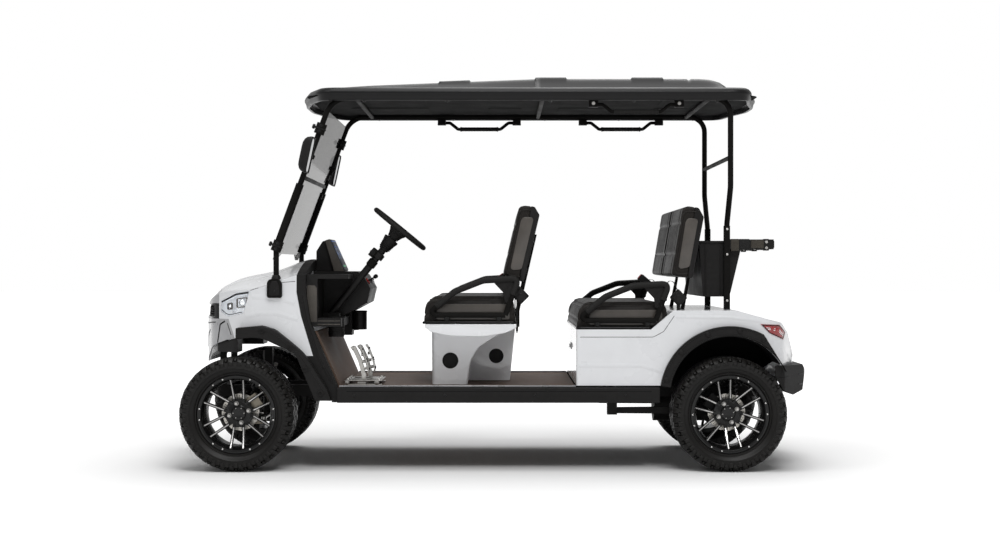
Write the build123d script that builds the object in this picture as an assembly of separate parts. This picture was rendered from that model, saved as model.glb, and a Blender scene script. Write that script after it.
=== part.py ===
"""Four-seat electric golf cart, one STEP file per named piece.

Frame: front towards -X, left side towards -Y, +Z up. The origin is on the
ground under the middle of the whole cart. All sizes are millimetres.
"""
from math import atan2, cos, degrees, radians, sin, tan
import os

from build123d import *

os.makedirs("parts", exist_ok=True)

# ---------------------------------------------------------------- driving sizes
SEAT_GAP = 0.3              # clearance where one piece is seated on another
WALL = 5.0                  # moulded body panels

BODY_HALF = 610.0           # rear body; the other widths step in or out from it
WHEELBASE = 2464.0
REAR_AXLE_X = 1173.0
TYRE_R = 286.0              # out to the tips of the tread
TYRE_WIDTH = 250.0
TRACK = 1040.0              # between the middles of a pair of tyres
TYRE_CLEARANCE = 7.0        # between a turning tyre and the bodywork nearest to it

RIM_R = 178.0               # bead seat
RIM_WIDTH = 190.0
RIM_LIP_R = 196.0
RIM_WALL = 12.0
HUB_R = 62.0
HUB_BARREL_R = 45.0
CAP_R = 32.0
HUB_RECESS = 87.0           # hub face behind the outer lip
SPOKE_COUNT = 6
RIB_WIDTH = 15.0
RIB_PITCH_IN = 52.0         # across one pair of ribs, at the hub
RIB_PITCH_OUT = 67.0        # and at the rim
DISC_R = 95.0
DISC_THICKNESS = 12.0

KINGPIN_OFFSET = 90.0       # kingpin inboard of the tyre's middle
KINGPIN_R = 16.0
STEER_ARM = 110.0           # steering arm eye behind the kingpin
STEER_ARM_INSET = 20.0
RACK_R = 8.0

RAIL_IN = 150.0             # ladder frame, from the middle plane
RAIL_OUT = 200.0
RAIL_Z0 = 345.0
FLOOR_TOP = 421.0
FLOOR_THICKNESS = 16.0
SILL_OUT = BODY_HALF + 20.0
SILL_WIDTH = 40.0
FLOOR_FRONT = -787.0        # from the front datum, see FRONT_SHIFT
REAR_BODY_FRONT = 406.0
SILL_REAR = REAR_AXLE_X - 351.0

COWL_HALF = BODY_HALF - 20.0
CROWN_R = 2176.0            # cross curve of the bonnet
NOSE_X = -1532.0
NOSE_FLAT = 30.0            # half the straight part of the nose's plan
FLARE_OUT = BODY_HALF + 30.0
FLARE_IN = BODY_HALF - 50.0

REAR_OVERHANG = 352.0       # rear body behind the rear axle
BODY_REAR = REAR_AXLE_X + REAR_OVERHANG
BODY_BOTTOM = 430.0
LEDGE_Z = 710.0             # what the rear cushion sits on
DECK_Z = 805.0
ARCH_Z = 375.0
ARCH_R = 302.0
ARCH_BAND = 50.0

POST_R = 14.0
CLAMP_R = 26.0
POST_Y = BODY_HALF - 75.0
ROOF_RAIL_Z = 1872.0
STRUT_FOOT_X = -1102.0
STRUT_KNEE_Z = 1112.0
STRUT_RUN = 0.3686          # how far the strut leans back for each mm up
REAR_POST_X = 1186.0
RACK_POST_Y = 395.0
RACK_POST_SIZE = 30.0
ROOF_HALF = BODY_HALF
ROOF_RIM_Z0 = ROOF_RAIL_Z - 15.0
ROOF_RIM_Z1 = ROOF_RAIL_Z + 51.0
ROOF_RIM_BAND = 26.0
ROOF_FRONT = -1007.0
ROOF_REAR = 1375.0
ROOF_CROWN = 62.0           # raised middle above the rim
ROOF_TOP = ROOF_RIM_Z1 + ROOF_CROWN

PAN_TOP = 737.0
PAN_HALF = BODY_HALF - 10.0
PAN_LIP = 63.0
PAN_FRONT = -350.0
PAN_REAR = 107.0
CUSHION_HALF = BODY_HALF - 38.0
CUSHION_HEIGHT = 135.0
ARM_TUBE_R = 13.5
ARM_Y = BODY_HALF - 18.0
SEAT_STEP_X = 752.0         # the rear armrest repeats the front one, moved
SEAT_STEP_Z = LEDGE_Z - PAN_TOP

WHEEL_CENTRE = Vector(-493, -300, 1219)
WHEEL_RIM_R = 155.0
WHEEL_GRIP_R = 15.0
COLUMN_RISE = 50.9          # degrees above level
COLUMN_R = 19.0
SHELF_TOP = 764.0

BASKET_HALF = 379.0
BASKET_FLOOR = 870.0
BASKET_TOP = 1155.0

# ----------------------------------------------------------- worked-out places
FRONT_AXLE_X = REAR_AXLE_X - WHEELBASE
FRONT_SHIFT = FRONT_AXLE_X + 1291.0     # the front end is drawn about an axle at -1291
FRONT_PLACE = Pos(FRONT_SHIFT, 0, 0)
AXLE_Z = TYRE_R
WHEEL_Y = TRACK / 2
KINGPIN_Y = WHEEL_Y - KINGPIN_OFFSET
HUB_INNER_Y = WHEEL_Y - 60.0
LINER_IN = WHEEL_Y - TYRE_WIDTH / 2 - 23.0
FLOOR_Z0 = FLOOR_TOP - FLOOR_THICKNESS
RAIL_TOP = FLOOR_Z0 - SEAT_GAP
SILL_IN = SILL_OUT - SILL_WIDTH


# ---------------------------------------------------------------------- helpers
def box(x0, x1, y0, y1, z0, z1):
    return Pos((x0 + x1) / 2, (y0 + y1) / 2, (z0 + z1) / 2) * Box(x1 - x0, y1 - y0, z1 - z0)


def outline(points, radii=0.0):
    """Closed wire through 3-D points, with rounded corners."""
    radii = list(radii) if isinstance(radii, (list, tuple)) else [radii] * len(points)
    if any(radii):
        return FilletPolyline(*points, radius=radii, close=True)
    return Polyline(*points, close=True)


def side(points, y0, y1, radii=0.0):
    """Solid with a side view of (x, z) points, from y0 to y1."""
    wire = outline([(x, y0, z) for x, z in points], radii)
    return extrude(make_face(wire), amount=y1 - y0, dir=(0, 1, 0))


def plan(points, z0, z1, radii=0.0):
    """Solid with a top view of (x, y) points, from z0 to z1."""
    wire = outline([(x, y, z0) for x, y in points], radii)
    return extrude(make_face(wire), amount=z1 - z0, dir=(0, 0, 1))


def front(points, x0, x1, radii=0.0):
    """Solid with a front view of (y, z) points, from x0 to x1."""
    wire = outline([(x0, y, z) for y, z in points], radii)
    return extrude(make_face(wire), amount=x1 - x0, dir=(1, 0, 0))


def rod(start, end, radius):
    """Round bar between two points."""
    start, end = Vector(start), Vector(end)
    line = end - start
    return Plane(origin=start, z_dir=line) * Cylinder(
        radius, line.length, align=(Align.CENTER, Align.CENTER, Align.MIN))


def tube(points, radius, bends):
    """Round bar along straight runs joined by arcs."""
    path = FilletPolyline(*points, radius=bends)
    section = Plane(origin=path @ 0, z_dir=path % 0) * Circle(radius)
    return sweep(section, path=path)


def across(shape):
    """The same shape on the other side of the cart."""
    return mirror(shape, about=Plane.XZ)


def pair(shape):
    return [shape, across(shape)]


def symmetric(points):
    """Plan outline from its right-hand half, listed front to rear."""
    return [(x, -y) for x, y in points] + [(x, y) for x, y in reversed(points)]


def save(name, *shapes):
    solids = [solid for shape in shapes for solid in shape.solids()]
    export_step(Compound(children=solids) if len(solids) > 1 else solids[0],
                f"parts/{name}.step")


# ----------------------------------------------------------------------- wheels
def tyre():
    """Tyre about its own centre, axle along Y."""
    half = TYRE_WIDTH / 2
    lip = RIM_WIDTH / 2 - 8 - SEAT_GAP
    profile = [  # (radius, distance from the tyre's middle)
        (RIM_R + SEAT_GAP, lip),
        (RIM_LIP_R + SEAT_GAP, lip),
        (RIM_LIP_R + 5, half * 0.8),
        (TYRE_R * 0.82, half),
        (TYRE_R * 0.92, half * 0.97),
        (TYRE_R * 0.985, half * 0.86),
        (TYRE_R, half * 0.74)]
    points = [(r, -y) for r, y in profile] + [(r, y) for r, y in reversed(profile)]
    face = make_face(Polyline(*[(r, y, 0) for r, y in points], close=True))
    return revolve(face, axis=Axis.Y)


def wheel(turn):
    """Alloy wheel, hub and brake disc; the outer face is towards -Y."""
    lip_y = RIM_WIDTH / 2
    rim_profile = [  # (radius, y)
        (RIM_R - RIM_WALL, -lip_y), (RIM_LIP_R, -lip_y), (RIM_LIP_R, -lip_y + 8),
        (RIM_R, -lip_y + 8), (RIM_R, lip_y - 8), (RIM_LIP_R, lip_y - 8),
        (RIM_LIP_R, lip_y), (RIM_R - RIM_WALL, lip_y)]
    rim = revolve(make_face(Polyline(*[(r, y, 0) for r, y in rim_profile], close=True)), axis=Axis.Y)
    hub_face = -lip_y + HUB_RECESS
    hub_back = WHEEL_Y - HUB_INNER_Y
    body = rim + rod((0, hub_face, 0), (0, hub_face + 26, 0), HUB_R)
    body += rod((0, hub_face - 14, 0), (0, hub_face + 10, 0), CAP_R)
    body += rod((0, hub_face + 10, 0), (0, hub_back, 0), HUB_BARREL_R)
    body += rod((0, 40, 0), (0, 40 + DISC_THICKNESS, 0), DISC_R)
    rib_profile = [  # (radius, y) of one rib, leaning out to the rim
        (HUB_R - 12, hub_face), (RIM_R - RIM_WALL + 4, -lip_y + 16),
        (RIM_R - RIM_WALL + 4, -lip_y + 46), (HUB_R - 12, hub_face + 22)]
    spread = degrees(atan2((RIB_PITCH_OUT - RIB_PITCH_IN) / 2, RIM_R - RIM_WALL - HUB_R))
    rib = extrude(make_face(Polyline(*[(r, y, -RIB_WIDTH / 2) for r, y in rib_profile], close=True)),
                  amount=RIB_WIDTH, dir=(0, 0, 1))
    for spoke in range(SPOKE_COUNT):
        angle = turn + spoke * 360 / SPOKE_COUNT
        for hand in (-1, 1):
            leaned = Pos(0, 0, hand * RIB_PITCH_IN / 2 * 0.9) * Rot(0, -hand * spread, 0) * rib
            body += Rot(0, angle, 0) * leaned
    return body


def caliper(turn):
    """Brake caliper bridging the disc, about the wheel's centre, turned from +X."""
    disc_y = 40 + DISC_THICKNESS / 2
    block = box(66, DISC_R + 24, disc_y - 20, disc_y + 20, -38, 38)
    slot = box(60, DISC_R + 6, disc_y - 11, disc_y + 11, -40, 40)
    bracket = box(0, DISC_R + 20, disc_y + 14.3, disc_y + 28, -22, 22)
    ear = box(40, DISC_R + 20, disc_y + 14, disc_y + 20, -22, 22)
    return Rot(0, turn, 0) * ((block - slot) + ear + (bracket - rod((0, 0, 0), (0, 60.3, 0), HUB_BARREL_R + 5)))


TYRE = tyre()
for end, axle_x, turn in (("front", FRONT_AXLE_X, 30.0), ("rear", REAR_AXLE_X, 21.0)):
    place = Pos(axle_x, -WHEEL_Y, AXLE_Z)
    left_wheel = place * wheel(turn)
    save(f"wheel_{end}_left", left_wheel)
    save(f"wheel_{end}_right", across(left_wheel))
    save(f"tyre_{end}_left", place * TYRE)
    save(f"tyre_{end}_right", across(place * TYRE))


# ------------------------------------------------------------ steering knuckles
LOWER_EYE = (AXLE_Z - 98.0, AXLE_Z - 78.0)
UPPER_EYE = (AXLE_Z + 78.0, AXLE_Z + 94.0)
STEER_ARM_Z = (AXLE_Z - 64.0, AXLE_Z - 48.0)
RACK_X = FRONT_AXLE_X + STEER_ARM
RACK_Z = STEER_ARM_Z[1] + 5.0 + 7.0
TIE_EYE_Y = KINGPIN_Y - STEER_ARM_INSET


def knuckle():
    """Left steering knuckle with its spindle, steering arm and caliper."""
    pin = (FRONT_AXLE_X, -KINGPIN_Y)
    body = rod((*pin, LOWER_EYE[1] + SEAT_GAP), (*pin, UPPER_EYE[0] - SEAT_GAP), KINGPIN_R)
    body += rod((pin[0], pin[1] + 20, AXLE_Z), (pin[0], -HUB_INNER_Y + SEAT_GAP, AXLE_Z), 26)
    low, high = STEER_ARM_Z
    arm = plan([(pin[0], pin[1] - 13), (RACK_X, -TIE_EYE_Y - 11), (RACK_X, -TIE_EYE_Y + 11),
                (pin[0], pin[1] + 13)], low, high)
    body += arm + rod((RACK_X, -TIE_EYE_Y, low), (RACK_X, -TIE_EYE_Y, high), 14)
    grip = Pos(FRONT_AXLE_X, -WHEEL_Y, AXLE_Z) * caliper(-35.0)
    plate = Pos(FRONT_AXLE_X, -WHEEL_Y, AXLE_Z) * Rot(0, -35.0, 0) * box(-20, 100, 60.6, 74, -22, 22)
    return body + grip + plate


left_knuckle = knuckle()
save("knuckle_left", left_knuckle)
save("knuckle_right", across(left_knuckle))

rack_bar = rod((RACK_X, -TIE_EYE_Y + 8, RACK_Z), (RACK_X, TIE_EYE_Y - 8, RACK_Z), RACK_R)
rack_eye = rod((RACK_X, -TIE_EYE_Y, RACK_Z - 7), (RACK_X, -TIE_EYE_Y, RACK_Z + 7), 13)
save("steering_rack", rack_bar + rack_eye + across(rack_eye))


# ------------------------------------------------------------ front suspension
ARM_FRONT_X = FRONT_AXLE_X - 36.0
LOWER_ARM_REAR_X = FRONT_AXLE_X + 76.0
DAMPER_X = FRONT_AXLE_X + 56.0
TOWER_TOP = 585.0


def front_corner():
    """Left wishbones and damper."""
    eye = (FRONT_AXLE_X, -KINGPIN_Y)
    lower_in = -RAIL_OUT - SEAT_GAP
    lower = plan([(ARM_FRONT_X, lower_in), (LOWER_ARM_REAR_X, lower_in), (LOWER_ARM_REAR_X, -335),
                  (eye[0] + 18, eye[1]), (eye[0] - 18, eye[1])], *LOWER_EYE)
    lower -= plan([(ARM_FRONT_X + 24, -225), (LOWER_ARM_REAR_X - 24, -225), (DAMPER_X - 30, -300),
                   (eye[0] - 10, -365)], LOWER_EYE[0] - 1, LOWER_EYE[1] + 1)
    lower += rod((*eye, LOWER_EYE[0]), (*eye, LOWER_EYE[1]), 20)
    upper = plan([(ARM_FRONT_X, lower_in), (ARM_FRONT_X + 52, lower_in), (eye[0] + 14, eye[1]),
                  (eye[0] - 14, eye[1])], *UPPER_EYE)
    upper += rod((*eye, UPPER_EYE[0]), (*eye, UPPER_EYE[1]), 18)
    foot, top = (DAMPER_X, -320, LOWER_EYE[1] - 4), (DAMPER_X, -245, TOWER_TOP - 30)
    aim = Vector(*top) - Vector(*foot)
    spring_foot = Vector(*foot) + aim * 0.18
    spring_top = Vector(*foot) + aim * 0.80
    damper = rod(foot, top, 12) + rod(spring_foot, spring_top, 25)
    damper += rod((DAMPER_X, -RAIL_OUT - SEAT_GAP, top[2]), (DAMPER_X, -262, top[2]), 11)
    return [lower + damper, upper]


save("front_suspension", *front_corner(), *[across(piece) for piece in front_corner()])


# ----------------------------------------------------------------- ladder frame
RAIL_FRONT_X = FRONT_AXLE_X - 149.0
RAIL_REAR_X = BODY_REAR - 45.0
MOTOR_R = 85.0
DIFF_R = 100.0


def chassis_frame():
    body = None
    for hand in (-1, 1):
        y0, y1 = sorted((hand * RAIL_IN, hand * RAIL_OUT))
        pieces = [
            box(RAIL_FRONT_X, RAIL_REAR_X, y0, y1, RAIL_Z0, RAIL_TOP),
            # nose post, spring tower, wishbone bracket and rear spring post
            box(RAIL_FRONT_X, RAIL_FRONT_X + 28, y0, y1, RAIL_TOP - 1, 700),
            box(DAMPER_X - 20, DAMPER_X + 20, y0, y1, RAIL_TOP - 1, TOWER_TOP),
            box(ARM_FRONT_X, LOWER_ARM_REAR_X, y0, y1, LOWER_EYE[0] - 6, RAIL_Z0 + 1),
            box(REAR_AXLE_X + 30, REAR_AXLE_X + 70, y0, y1, RAIL_TOP - 1, 590)]
        arm_y = sorted((hand * (RAIL_OUT - 1), hand * 345))
        pieces.append(box(REAR_AXLE_X + 30, REAR_AXLE_X + 70, *arm_y, 560, 590))
        out_y = sorted((hand * (RAIL_OUT - 1), hand * (SILL_IN - SEAT_GAP)))
        for x in (FLOOR_FRONT + FRONT_SHIFT + 47, -60, 360, 600):
            pieces.append(box(x - 25, x + 25, *out_y, RAIL_Z0, RAIL_TOP))
        hanger_y = sorted((hand * 335, hand * 385))
        pieces.append(box(575, 625, *hanger_y, RAIL_Z0 - 80, RAIL_Z0 + 1))
        for piece in pieces:
            body = piece if body is None else body + piece
    for x0, x1 in ((RAIL_FRONT_X, RAIL_FRONT_X + 40), (RACK_X - 20, RACK_X + 20), (FLOOR_FRONT + FRONT_SHIFT + 22, FLOOR_FRONT + FRONT_SHIFT + 72),
                   (335, 385), (RAIL_REAR_X - 80, RAIL_REAR_X - 40)):
        body += box(x0, x1, -RAIL_IN - 1, RAIL_IN + 1, RAIL_Z0, RAIL_TOP)
    # housing that guides the steering rack
    housing = box(RACK_X - 24, RACK_X + 24, -130, 130, RACK_Z - 20, RACK_Z + 20)
    housing += box(RACK_X - 16, RACK_X + 16, -60, 60, RACK_Z + 19, RAIL_Z0 + 1)
    housing -= rod((RACK_X, -140, RACK_Z), (RACK_X, 140, RACK_Z), RACK_R + 0.4)
    return body + housing


save("chassis_frame", chassis_frame())

# ------------------------------------------------------- rear axle and its links
axle = rod((REAR_AXLE_X, -HUB_INNER_Y + SEAT_GAP, AXLE_Z), (REAR_AXLE_X, HUB_INNER_Y - SEAT_GAP, AXLE_Z), 32)
axle += rod((REAR_AXLE_X, -62, AXLE_Z), (REAR_AXLE_X, 62, AXLE_Z), DIFF_R)
axle += rod((REAR_AXLE_X - 330, 0, AXLE_Z), (REAR_AXLE_X - 40, 0, AXLE_Z), MOTOR_R)
rear_grip = Pos(REAR_AXLE_X, -WHEEL_Y, AXLE_Z) * caliper(-145.0)
rear_grip += Pos(REAR_AXLE_X, -WHEEL_Y, AXLE_Z) * Rot(0, -145.0, 0) * box(-20, 100, 60.6, 74, -22, 22)
axle += rear_grip
axle += across(rear_grip)
save("rear_axle", axle)


def rear_links():
    """Left trailing arm and damper."""
    arm = side([(602, AXLE_Z + 12), (REAR_AXLE_X - 33, AXLE_Z + 18), (REAR_AXLE_X - 33, AXLE_Z - 22),
                (602, AXLE_Z - 18)], -334.5, -305)
    seat = AXLE_Z + 32 + SEAT_GAP
    top = 560 - SEAT_GAP
    damper = rod((REAR_AXLE_X + 45, -320, seat - 8), (REAR_AXLE_X + 45, -320, top), 12)
    damper += rod((REAR_AXLE_X + 45, -320, seat + 40), (REAR_AXLE_X + 45, -320, top - 50), 26)
    damper -= rod((REAR_AXLE_X, -400, AXLE_Z), (REAR_AXLE_X, -250, AXLE_Z), 32 + SEAT_GAP)
    foot = box(REAR_AXLE_X + 5, REAR_AXLE_X + 60, -335, -305, AXLE_Z - 10, seat + 4)
    foot -= rod((REAR_AXLE_X, -400, AXLE_Z), (REAR_AXLE_X, -250, AXLE_Z), 32 + SEAT_GAP)
    return [arm, damper + foot]


save("rear_suspension", *rear_links(), *[across(piece) for piece in rear_links()])

# --------------------------------------------------------------- floor and sills
RAMP_TOP = (-895.0, 699.0)
RAMP_HALF = COWL_HALF - 45.0
floor = box(FLOOR_FRONT + FRONT_SHIFT, REAR_BODY_FRONT - SEAT_GAP, -SILL_IN + SEAT_GAP, SILL_IN - SEAT_GAP,
            FLOOR_Z0, FLOOR_TOP)
ramp = side([(FLOOR_FRONT + 12, FLOOR_Z0), (FLOOR_FRONT + 12, FLOOR_TOP), RAMP_TOP,
             (RAMP_TOP[0] - 14, RAMP_TOP[1]), (FLOOR_FRONT - 14, FLOOR_Z0)], -RAMP_HALF, RAMP_HALF)
save("floor", floor + FRONT_PLACE * ramp)

sill = box(FLOOR_FRONT + FRONT_SHIFT, SILL_REAR, -SILL_OUT, -SILL_IN, RAIL_Z0, FLOOR_TOP)
save("sills", *pair(sill))


# ------------------------------------------------------------------- front body
HOOD = [  # (x, height on the middle line) of the bonnet's sections
    (-900, 1042), (-1104, 1022), (-1295, 976), (-1438, 908), (-1500, 828), (-1556, 690)]
NOSE_PLAN = [(NOSE_X, NOSE_FLAT), (NOSE_X + 47, COWL_HALF - 300), (-1442, COWL_HALF - 155),
             (-1265, COWL_HALF - 8), (-900, COWL_HALF)]
NOSE_PLAN_R = [280, 380, 160, 250, 0]


def crown_drop(y):
    return CROWN_R - (CROWN_R ** 2 - y ** 2) ** 0.5


def front_mass(inset):
    """The nose and bonnet as one closed body, its faces moved in by inset."""
    edge = COWL_HALF + 110
    sections = []
    for x, top in HOOD:
        shoulder = top - inset - crown_drop(edge)
        base = Polyline((x + inset, edge, shoulder), (x + inset, edge, 300), (x + inset, -edge, 300),
                        (x + inset, -edge, shoulder))
        arc = ThreePointArc((x + inset, -edge, shoulder), (x + inset, 0, top - inset),
                            (x + inset, edge, shoulder))
        sections.append(make_face([base, arc]))
    bonnet = loft(sections)
    half = [(x + (inset if x < -900 else 0), y - (inset if y > NOSE_FLAT else 0)) for x, y in NOSE_PLAN]
    radii = [max(r - inset, 5) if r else 0 for r in NOSE_PLAN_R]
    sides = plan(symmetric(half), 300, 1100, radii + radii[::-1])
    chin = side([(-1700, 300), (-1700, 703 - inset), (NOSE_X + inset - 2, 703 - inset),
                 (NOSE_X + inset + 80, 300)], -700, 700)
    return bonnet & sides - chin


SKIN = front_mass(0) - front_mass(WALL)

TRIM_FRONT = [  # front edge of the black strip along the cowl, top to bottom
    (-992, 1100), (-993.6, 897), (-970.6, 777), (-910.6, 577)]
FLARE_EDGE = [  # upper edge of the front flare, front to rear
    (-1291, 718), (-1162, 730), (-1095, 710), (-1010, 642), (-955, 577)]


def shifted(points, dx, dz):
    return [(x + dx, z + dz) for x, z in points]


nose_seam = [(-1345, 760), (-1310, 664)]
lamp_view = [(-1392, 800), (-1350, 772), (-1262, 790), (-1228, 902), (-1300, 893), (-1388, 850)]
wide = BODY_HALF + 90


def cowl():
    view = ([(-1291, 664)] + FLARE_EDGE + TRIM_FRONT[::-1]
            + [(-1700, 1100), (-1700, 905), (-1400, 905), (-1400, 760)] + nose_seam)
    panel = SKIN & side(view, -wide, wide)
    for hand in (-1, 1):
        y0, y1 = sorted((hand * 100, hand * wide))
        panel -= side(lamp_view, y0, y1)
    return panel


COWL = cowl()
save("front_cowl", FRONT_PLACE * COWL)


def nose_face():
    g = SEAT_GAP
    low = side([(-1700, 400), (-1700, 760 - g), (-1345 - g, 760 - g), (-1310 - g, 664), (-1310 - g, 400)],
               -wide, wide)
    end = COWL_HALF - 30
    chin_view = front([(-end, 668), (-end + 90, 640), (-250, 533), (250, 533), (end - 90, 640), (end, 668),
                       (end, 800), (-end, 800)], -1700, -1200)
    strip = side([(-1700, 838 + g), (-1700, 905 - g), (-1400 - g, 905 - g), (-1400 - g, 838 + g)], -wide, wide)
    return [SKIN & low & chin_view, SKIN & strip]


def grille():
    """Dark panel between the nose and the strip, sunk inside a narrow lip."""
    g = SEAT_GAP
    view = side([(-1700, 760), (-1700, 838), (-1400 - g, 838), (-1400 - g, 760)], -wide, wide)
    sunk = side([(-1700, 768), (-1700, 830), (-1430, 830), (-1430, 768)], -wide, wide)
    return (front_mass(3) - front_mass(22)) & view - (sunk - front_mass(13))


def headlamps():
    g = SEAT_GAP
    x_mid = sum(x for x, z in lamp_view) / len(lamp_view)
    z_mid = sum(z for x, z in lamp_view) / len(lamp_view)
    view = [(x_mid + (x - x_mid) * 0.985, z_mid + (z - z_mid) * 0.985) for x, z in lamp_view]
    lamp = (front_mass(-1) - front_mass(30)) & side(view, -wide, -100)
    lamp -= side([(-1700, 838 + g), (-1700, 760 - g), (-1400, 760 - g), (-1400, 838 + g)], -wide, wide)
    return pair(lamp)


save("nose_panel", *[FRONT_PLACE * piece for piece in nose_face()])
save("grille", FRONT_PLACE * grille())
save("headlamps", *[FRONT_PLACE * lamp for lamp in headlamps()])


def cowl_trim():
    """Black strip behind the cowl on both sides and over the top."""
    g = SEAT_GAP
    front_edge = [(x + g, z) for x, z in TRIM_FRONT[1:]]
    rear_edge = [(-947.6, 897), (-925.6, 747), (-840.5, 547), (FLOOR_FRONT - g, FLOOR_TOP + 4)]
    foot = [(FLOOR_FRONT - g, RAIL_Z0), (-815, RAIL_Z0), (-842, 409), (-951, 577 - g)]
    view = [(-992.3 + g, 1010)] + front_edge + foot[::-1] + rear_edge[::-1] + [(-947.6, 1010)]
    sides = side(view, -COWL_HALF, -COWL_HALF + 44) + side(view, COWL_HALF - 44, COWL_HALF)
    top = front_mass(0) - front_mass(44)
    top &= box(-992.3 + g, -947.6, -wide, wide, TRIM_FRONT[1][1] + 3, 1100)
    inner = front_mass(0) & box(-1100, -780, -wide, wide, 300, 1100)
    return (sides & (inner + box(-946, -780, -wide, wide, 300, 890) + box(-1000, -946, -wide, wide, 300, 890))) + top


save("cowl_trim", FRONT_PLACE * cowl_trim())

FLARE_INNER = [  # lower edge of the front flare, front to rear
    (-1291, 664), (-1170, 672), (-1085, 632), (-996, 595), (-971, 534), (-931, 439), (-896, RAIL_Z0)]


def front_flare():
    g = SEAT_GAP
    upper = shifted(FLARE_EDGE[:-1], 0, -g) + [(-957, 577 - g), (-842 - 2 * g, 409), (-815 - 2 * g, RAIL_Z0)]
    band = side(upper + FLARE_INNER[::-1], -FLARE_OUT, -FLARE_IN)
    pocket = side([(-1280, 650), (-1168, 660), (-1100, 655), (-1000, 605), (-975, 534), (-931, 430),
                   (-885, 300), (-1280, 300)], -FLARE_OUT + 12, -FLARE_IN + 1)
    return band - pocket


save("front_flares", *pair(FRONT_PLACE * front_flare()))

BUMPER_POST_X = RAIL_FRONT_X - FRONT_SHIFT + 28 + SEAT_GAP


def front_bumper():
    """Cross bar behind the nose, with a block at each end."""
    bar = box(BUMPER_POST_X, BUMPER_POST_X + 24, -430, 430, 600, 640)
    block = box(-1411, -1296, -COWL_HALF + 45, -380, 592, 663)
    return (bar + block + across(block)) & front_mass(WALL + SEAT_GAP)


save("front_bumper", FRONT_PLACE * front_bumper())

# ------------------------------------------------------------------------- dash
DASH_FRONT = -947.3
DASH_HALF = COWL_HALF - 45.0
DASH_TOP = 985.0
DASH_LIP_X = -738.0
CONSOLE_HALF = 235.0
SHELF_Z0 = 722.0
SHELF_REAR = -775.0
CUP_R = 40.0
CUP_DEPTH = 50.0


def cup(x, y, top):
    rim = rod((x, y, top - CUP_DEPTH - 46), (x, y, top), CUP_R)
    return rim, rod((x, y, top - CUP_DEPTH - 40), (x, y, top + 1), CUP_R - 5)


def dashboard():
    body = box(DASH_FRONT, -893, -DASH_HALF, DASH_HALF, SHELF_Z0, DASH_TOP - 20)
    body += box(DASH_FRONT, DASH_LIP_X, -DASH_HALF, DASH_HALF, DASH_TOP - 22, DASH_TOP)
    body += box(DASH_FRONT, SHELF_REAR, -DASH_HALF, DASH_HALF, SHELF_Z0, SHELF_TOP)
    console = [(DASH_FRONT, DASH_TOP + 14), (-720, DASH_TOP + 14), (-690, DASH_TOP - 5), (-651, 910),
               (-668, 835), (-790, 770), (-800, SHELF_Z0), (DASH_FRONT, SHELF_Z0)]
    body += side(console, -CONSOLE_HALF, CONSOLE_HALF)
    body += box(-813, -762, -60, 60, 660, 790)
    for x, y, top in ((-808, -440, SHELF_TOP), (-808, 440, SHELF_TOP), (-728, 0, 784)):
        outer, bore = cup(x, y, top)
        body = body + outer - bore
    return body


save("dashboard", FRONT_PLACE * dashboard())


def display():
    """Slim screen leaning back on a wedge pod."""
    base = DASH_TOP + 14 + SEAT_GAP
    pod = [(-940, base), (-862, base), (-915, 1150), (-940, 1120)]
    screen = [(-868, base), (-808, base), (-868, 1169), (-923, 1169)]
    body = side(pod, -110, 110) + side(screen, -130, 130)
    return body + side([(-940, base), (-800, base), (-800, base + 8), (-940, base + 8)], -110, 110)


save("display", FRONT_PLACE * display())

# -------------------------------------------------------- steering wheel, column
AIM = Vector(cos(radians(COLUMN_RISE)), 0, sin(radians(COLUMN_RISE)))
HUB_BOTTOM = 62.0
column_top = WHEEL_CENTRE - AIM * (HUB_BOTTOM + SEAT_GAP)
column_foot = WHEEL_CENTRE - AIM * ((WHEEL_CENTRE.Z - SHELF_TOP + 12) / sin(radians(COLUMN_RISE)))


def column():
    body = rod(column_foot, column_top, COLUMN_R)
    body += rod(column_top - AIM * 60, column_top, 27)
    body += rod(column_top - AIM * 130, column_top - AIM * 100, 30)
    shoe = box(column_foot.X - 16, column_foot.X + 70, WHEEL_CENTRE.Y - 42, WHEEL_CENTRE.Y + 42,
               SHELF_TOP - 20, SHELF_TOP + 22)
    return (body + shoe) & box(-1000, 0, -wide, wide, SHELF_TOP + SEAT_GAP, 1400)


save("steering_column", FRONT_PLACE * column())


def steering_wheel():
    plane = Plane(origin=WHEEL_CENTRE, z_dir=AIM, x_dir=(0, 1, 0))
    body = plane * Torus(WHEEL_RIM_R, WHEEL_GRIP_R)
    body += plane * Pos(0, 0, -(HUB_BOTTOM - 8) / 2 - 8) * Cylinder(30, HUB_BOTTOM - 8)
    body += plane * Pos(0, 0, -6) * Cylinder(46, 28)
    for angle in (0, 180, 270):
        body += plane * Rot(0, 0, angle) * Pos(WHEEL_RIM_R / 2, 0, -6) * Box(WHEEL_RIM_R, 26, 12)
    return body


save("steering_wheel", FRONT_PLACE * steering_wheel())


def pedals():
    body = box(-764, -573, -480, -200, FLOOR_TOP + SEAT_GAP, FLOOR_TOP + 28)
    for y, width, lean in ((-410, 60, 0), (-270, 90, 22)):
        arm = [(-690 + lean, FLOOR_TOP + 20), (-668 + lean, FLOOR_TOP + 20), (-648 + lean, 520),
               (-690 + lean, 625), (-735 + lean, 612), (-700 + lean, 500)]
        body += side(arm, y - width / 2, y + width / 2)
    return body


save("pedals", FRONT_PLACE * pedals())

# ------------------------------------------------------------------- front seat
POD_HALF = 398.0
SPINE_HALF = 90.0


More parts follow.
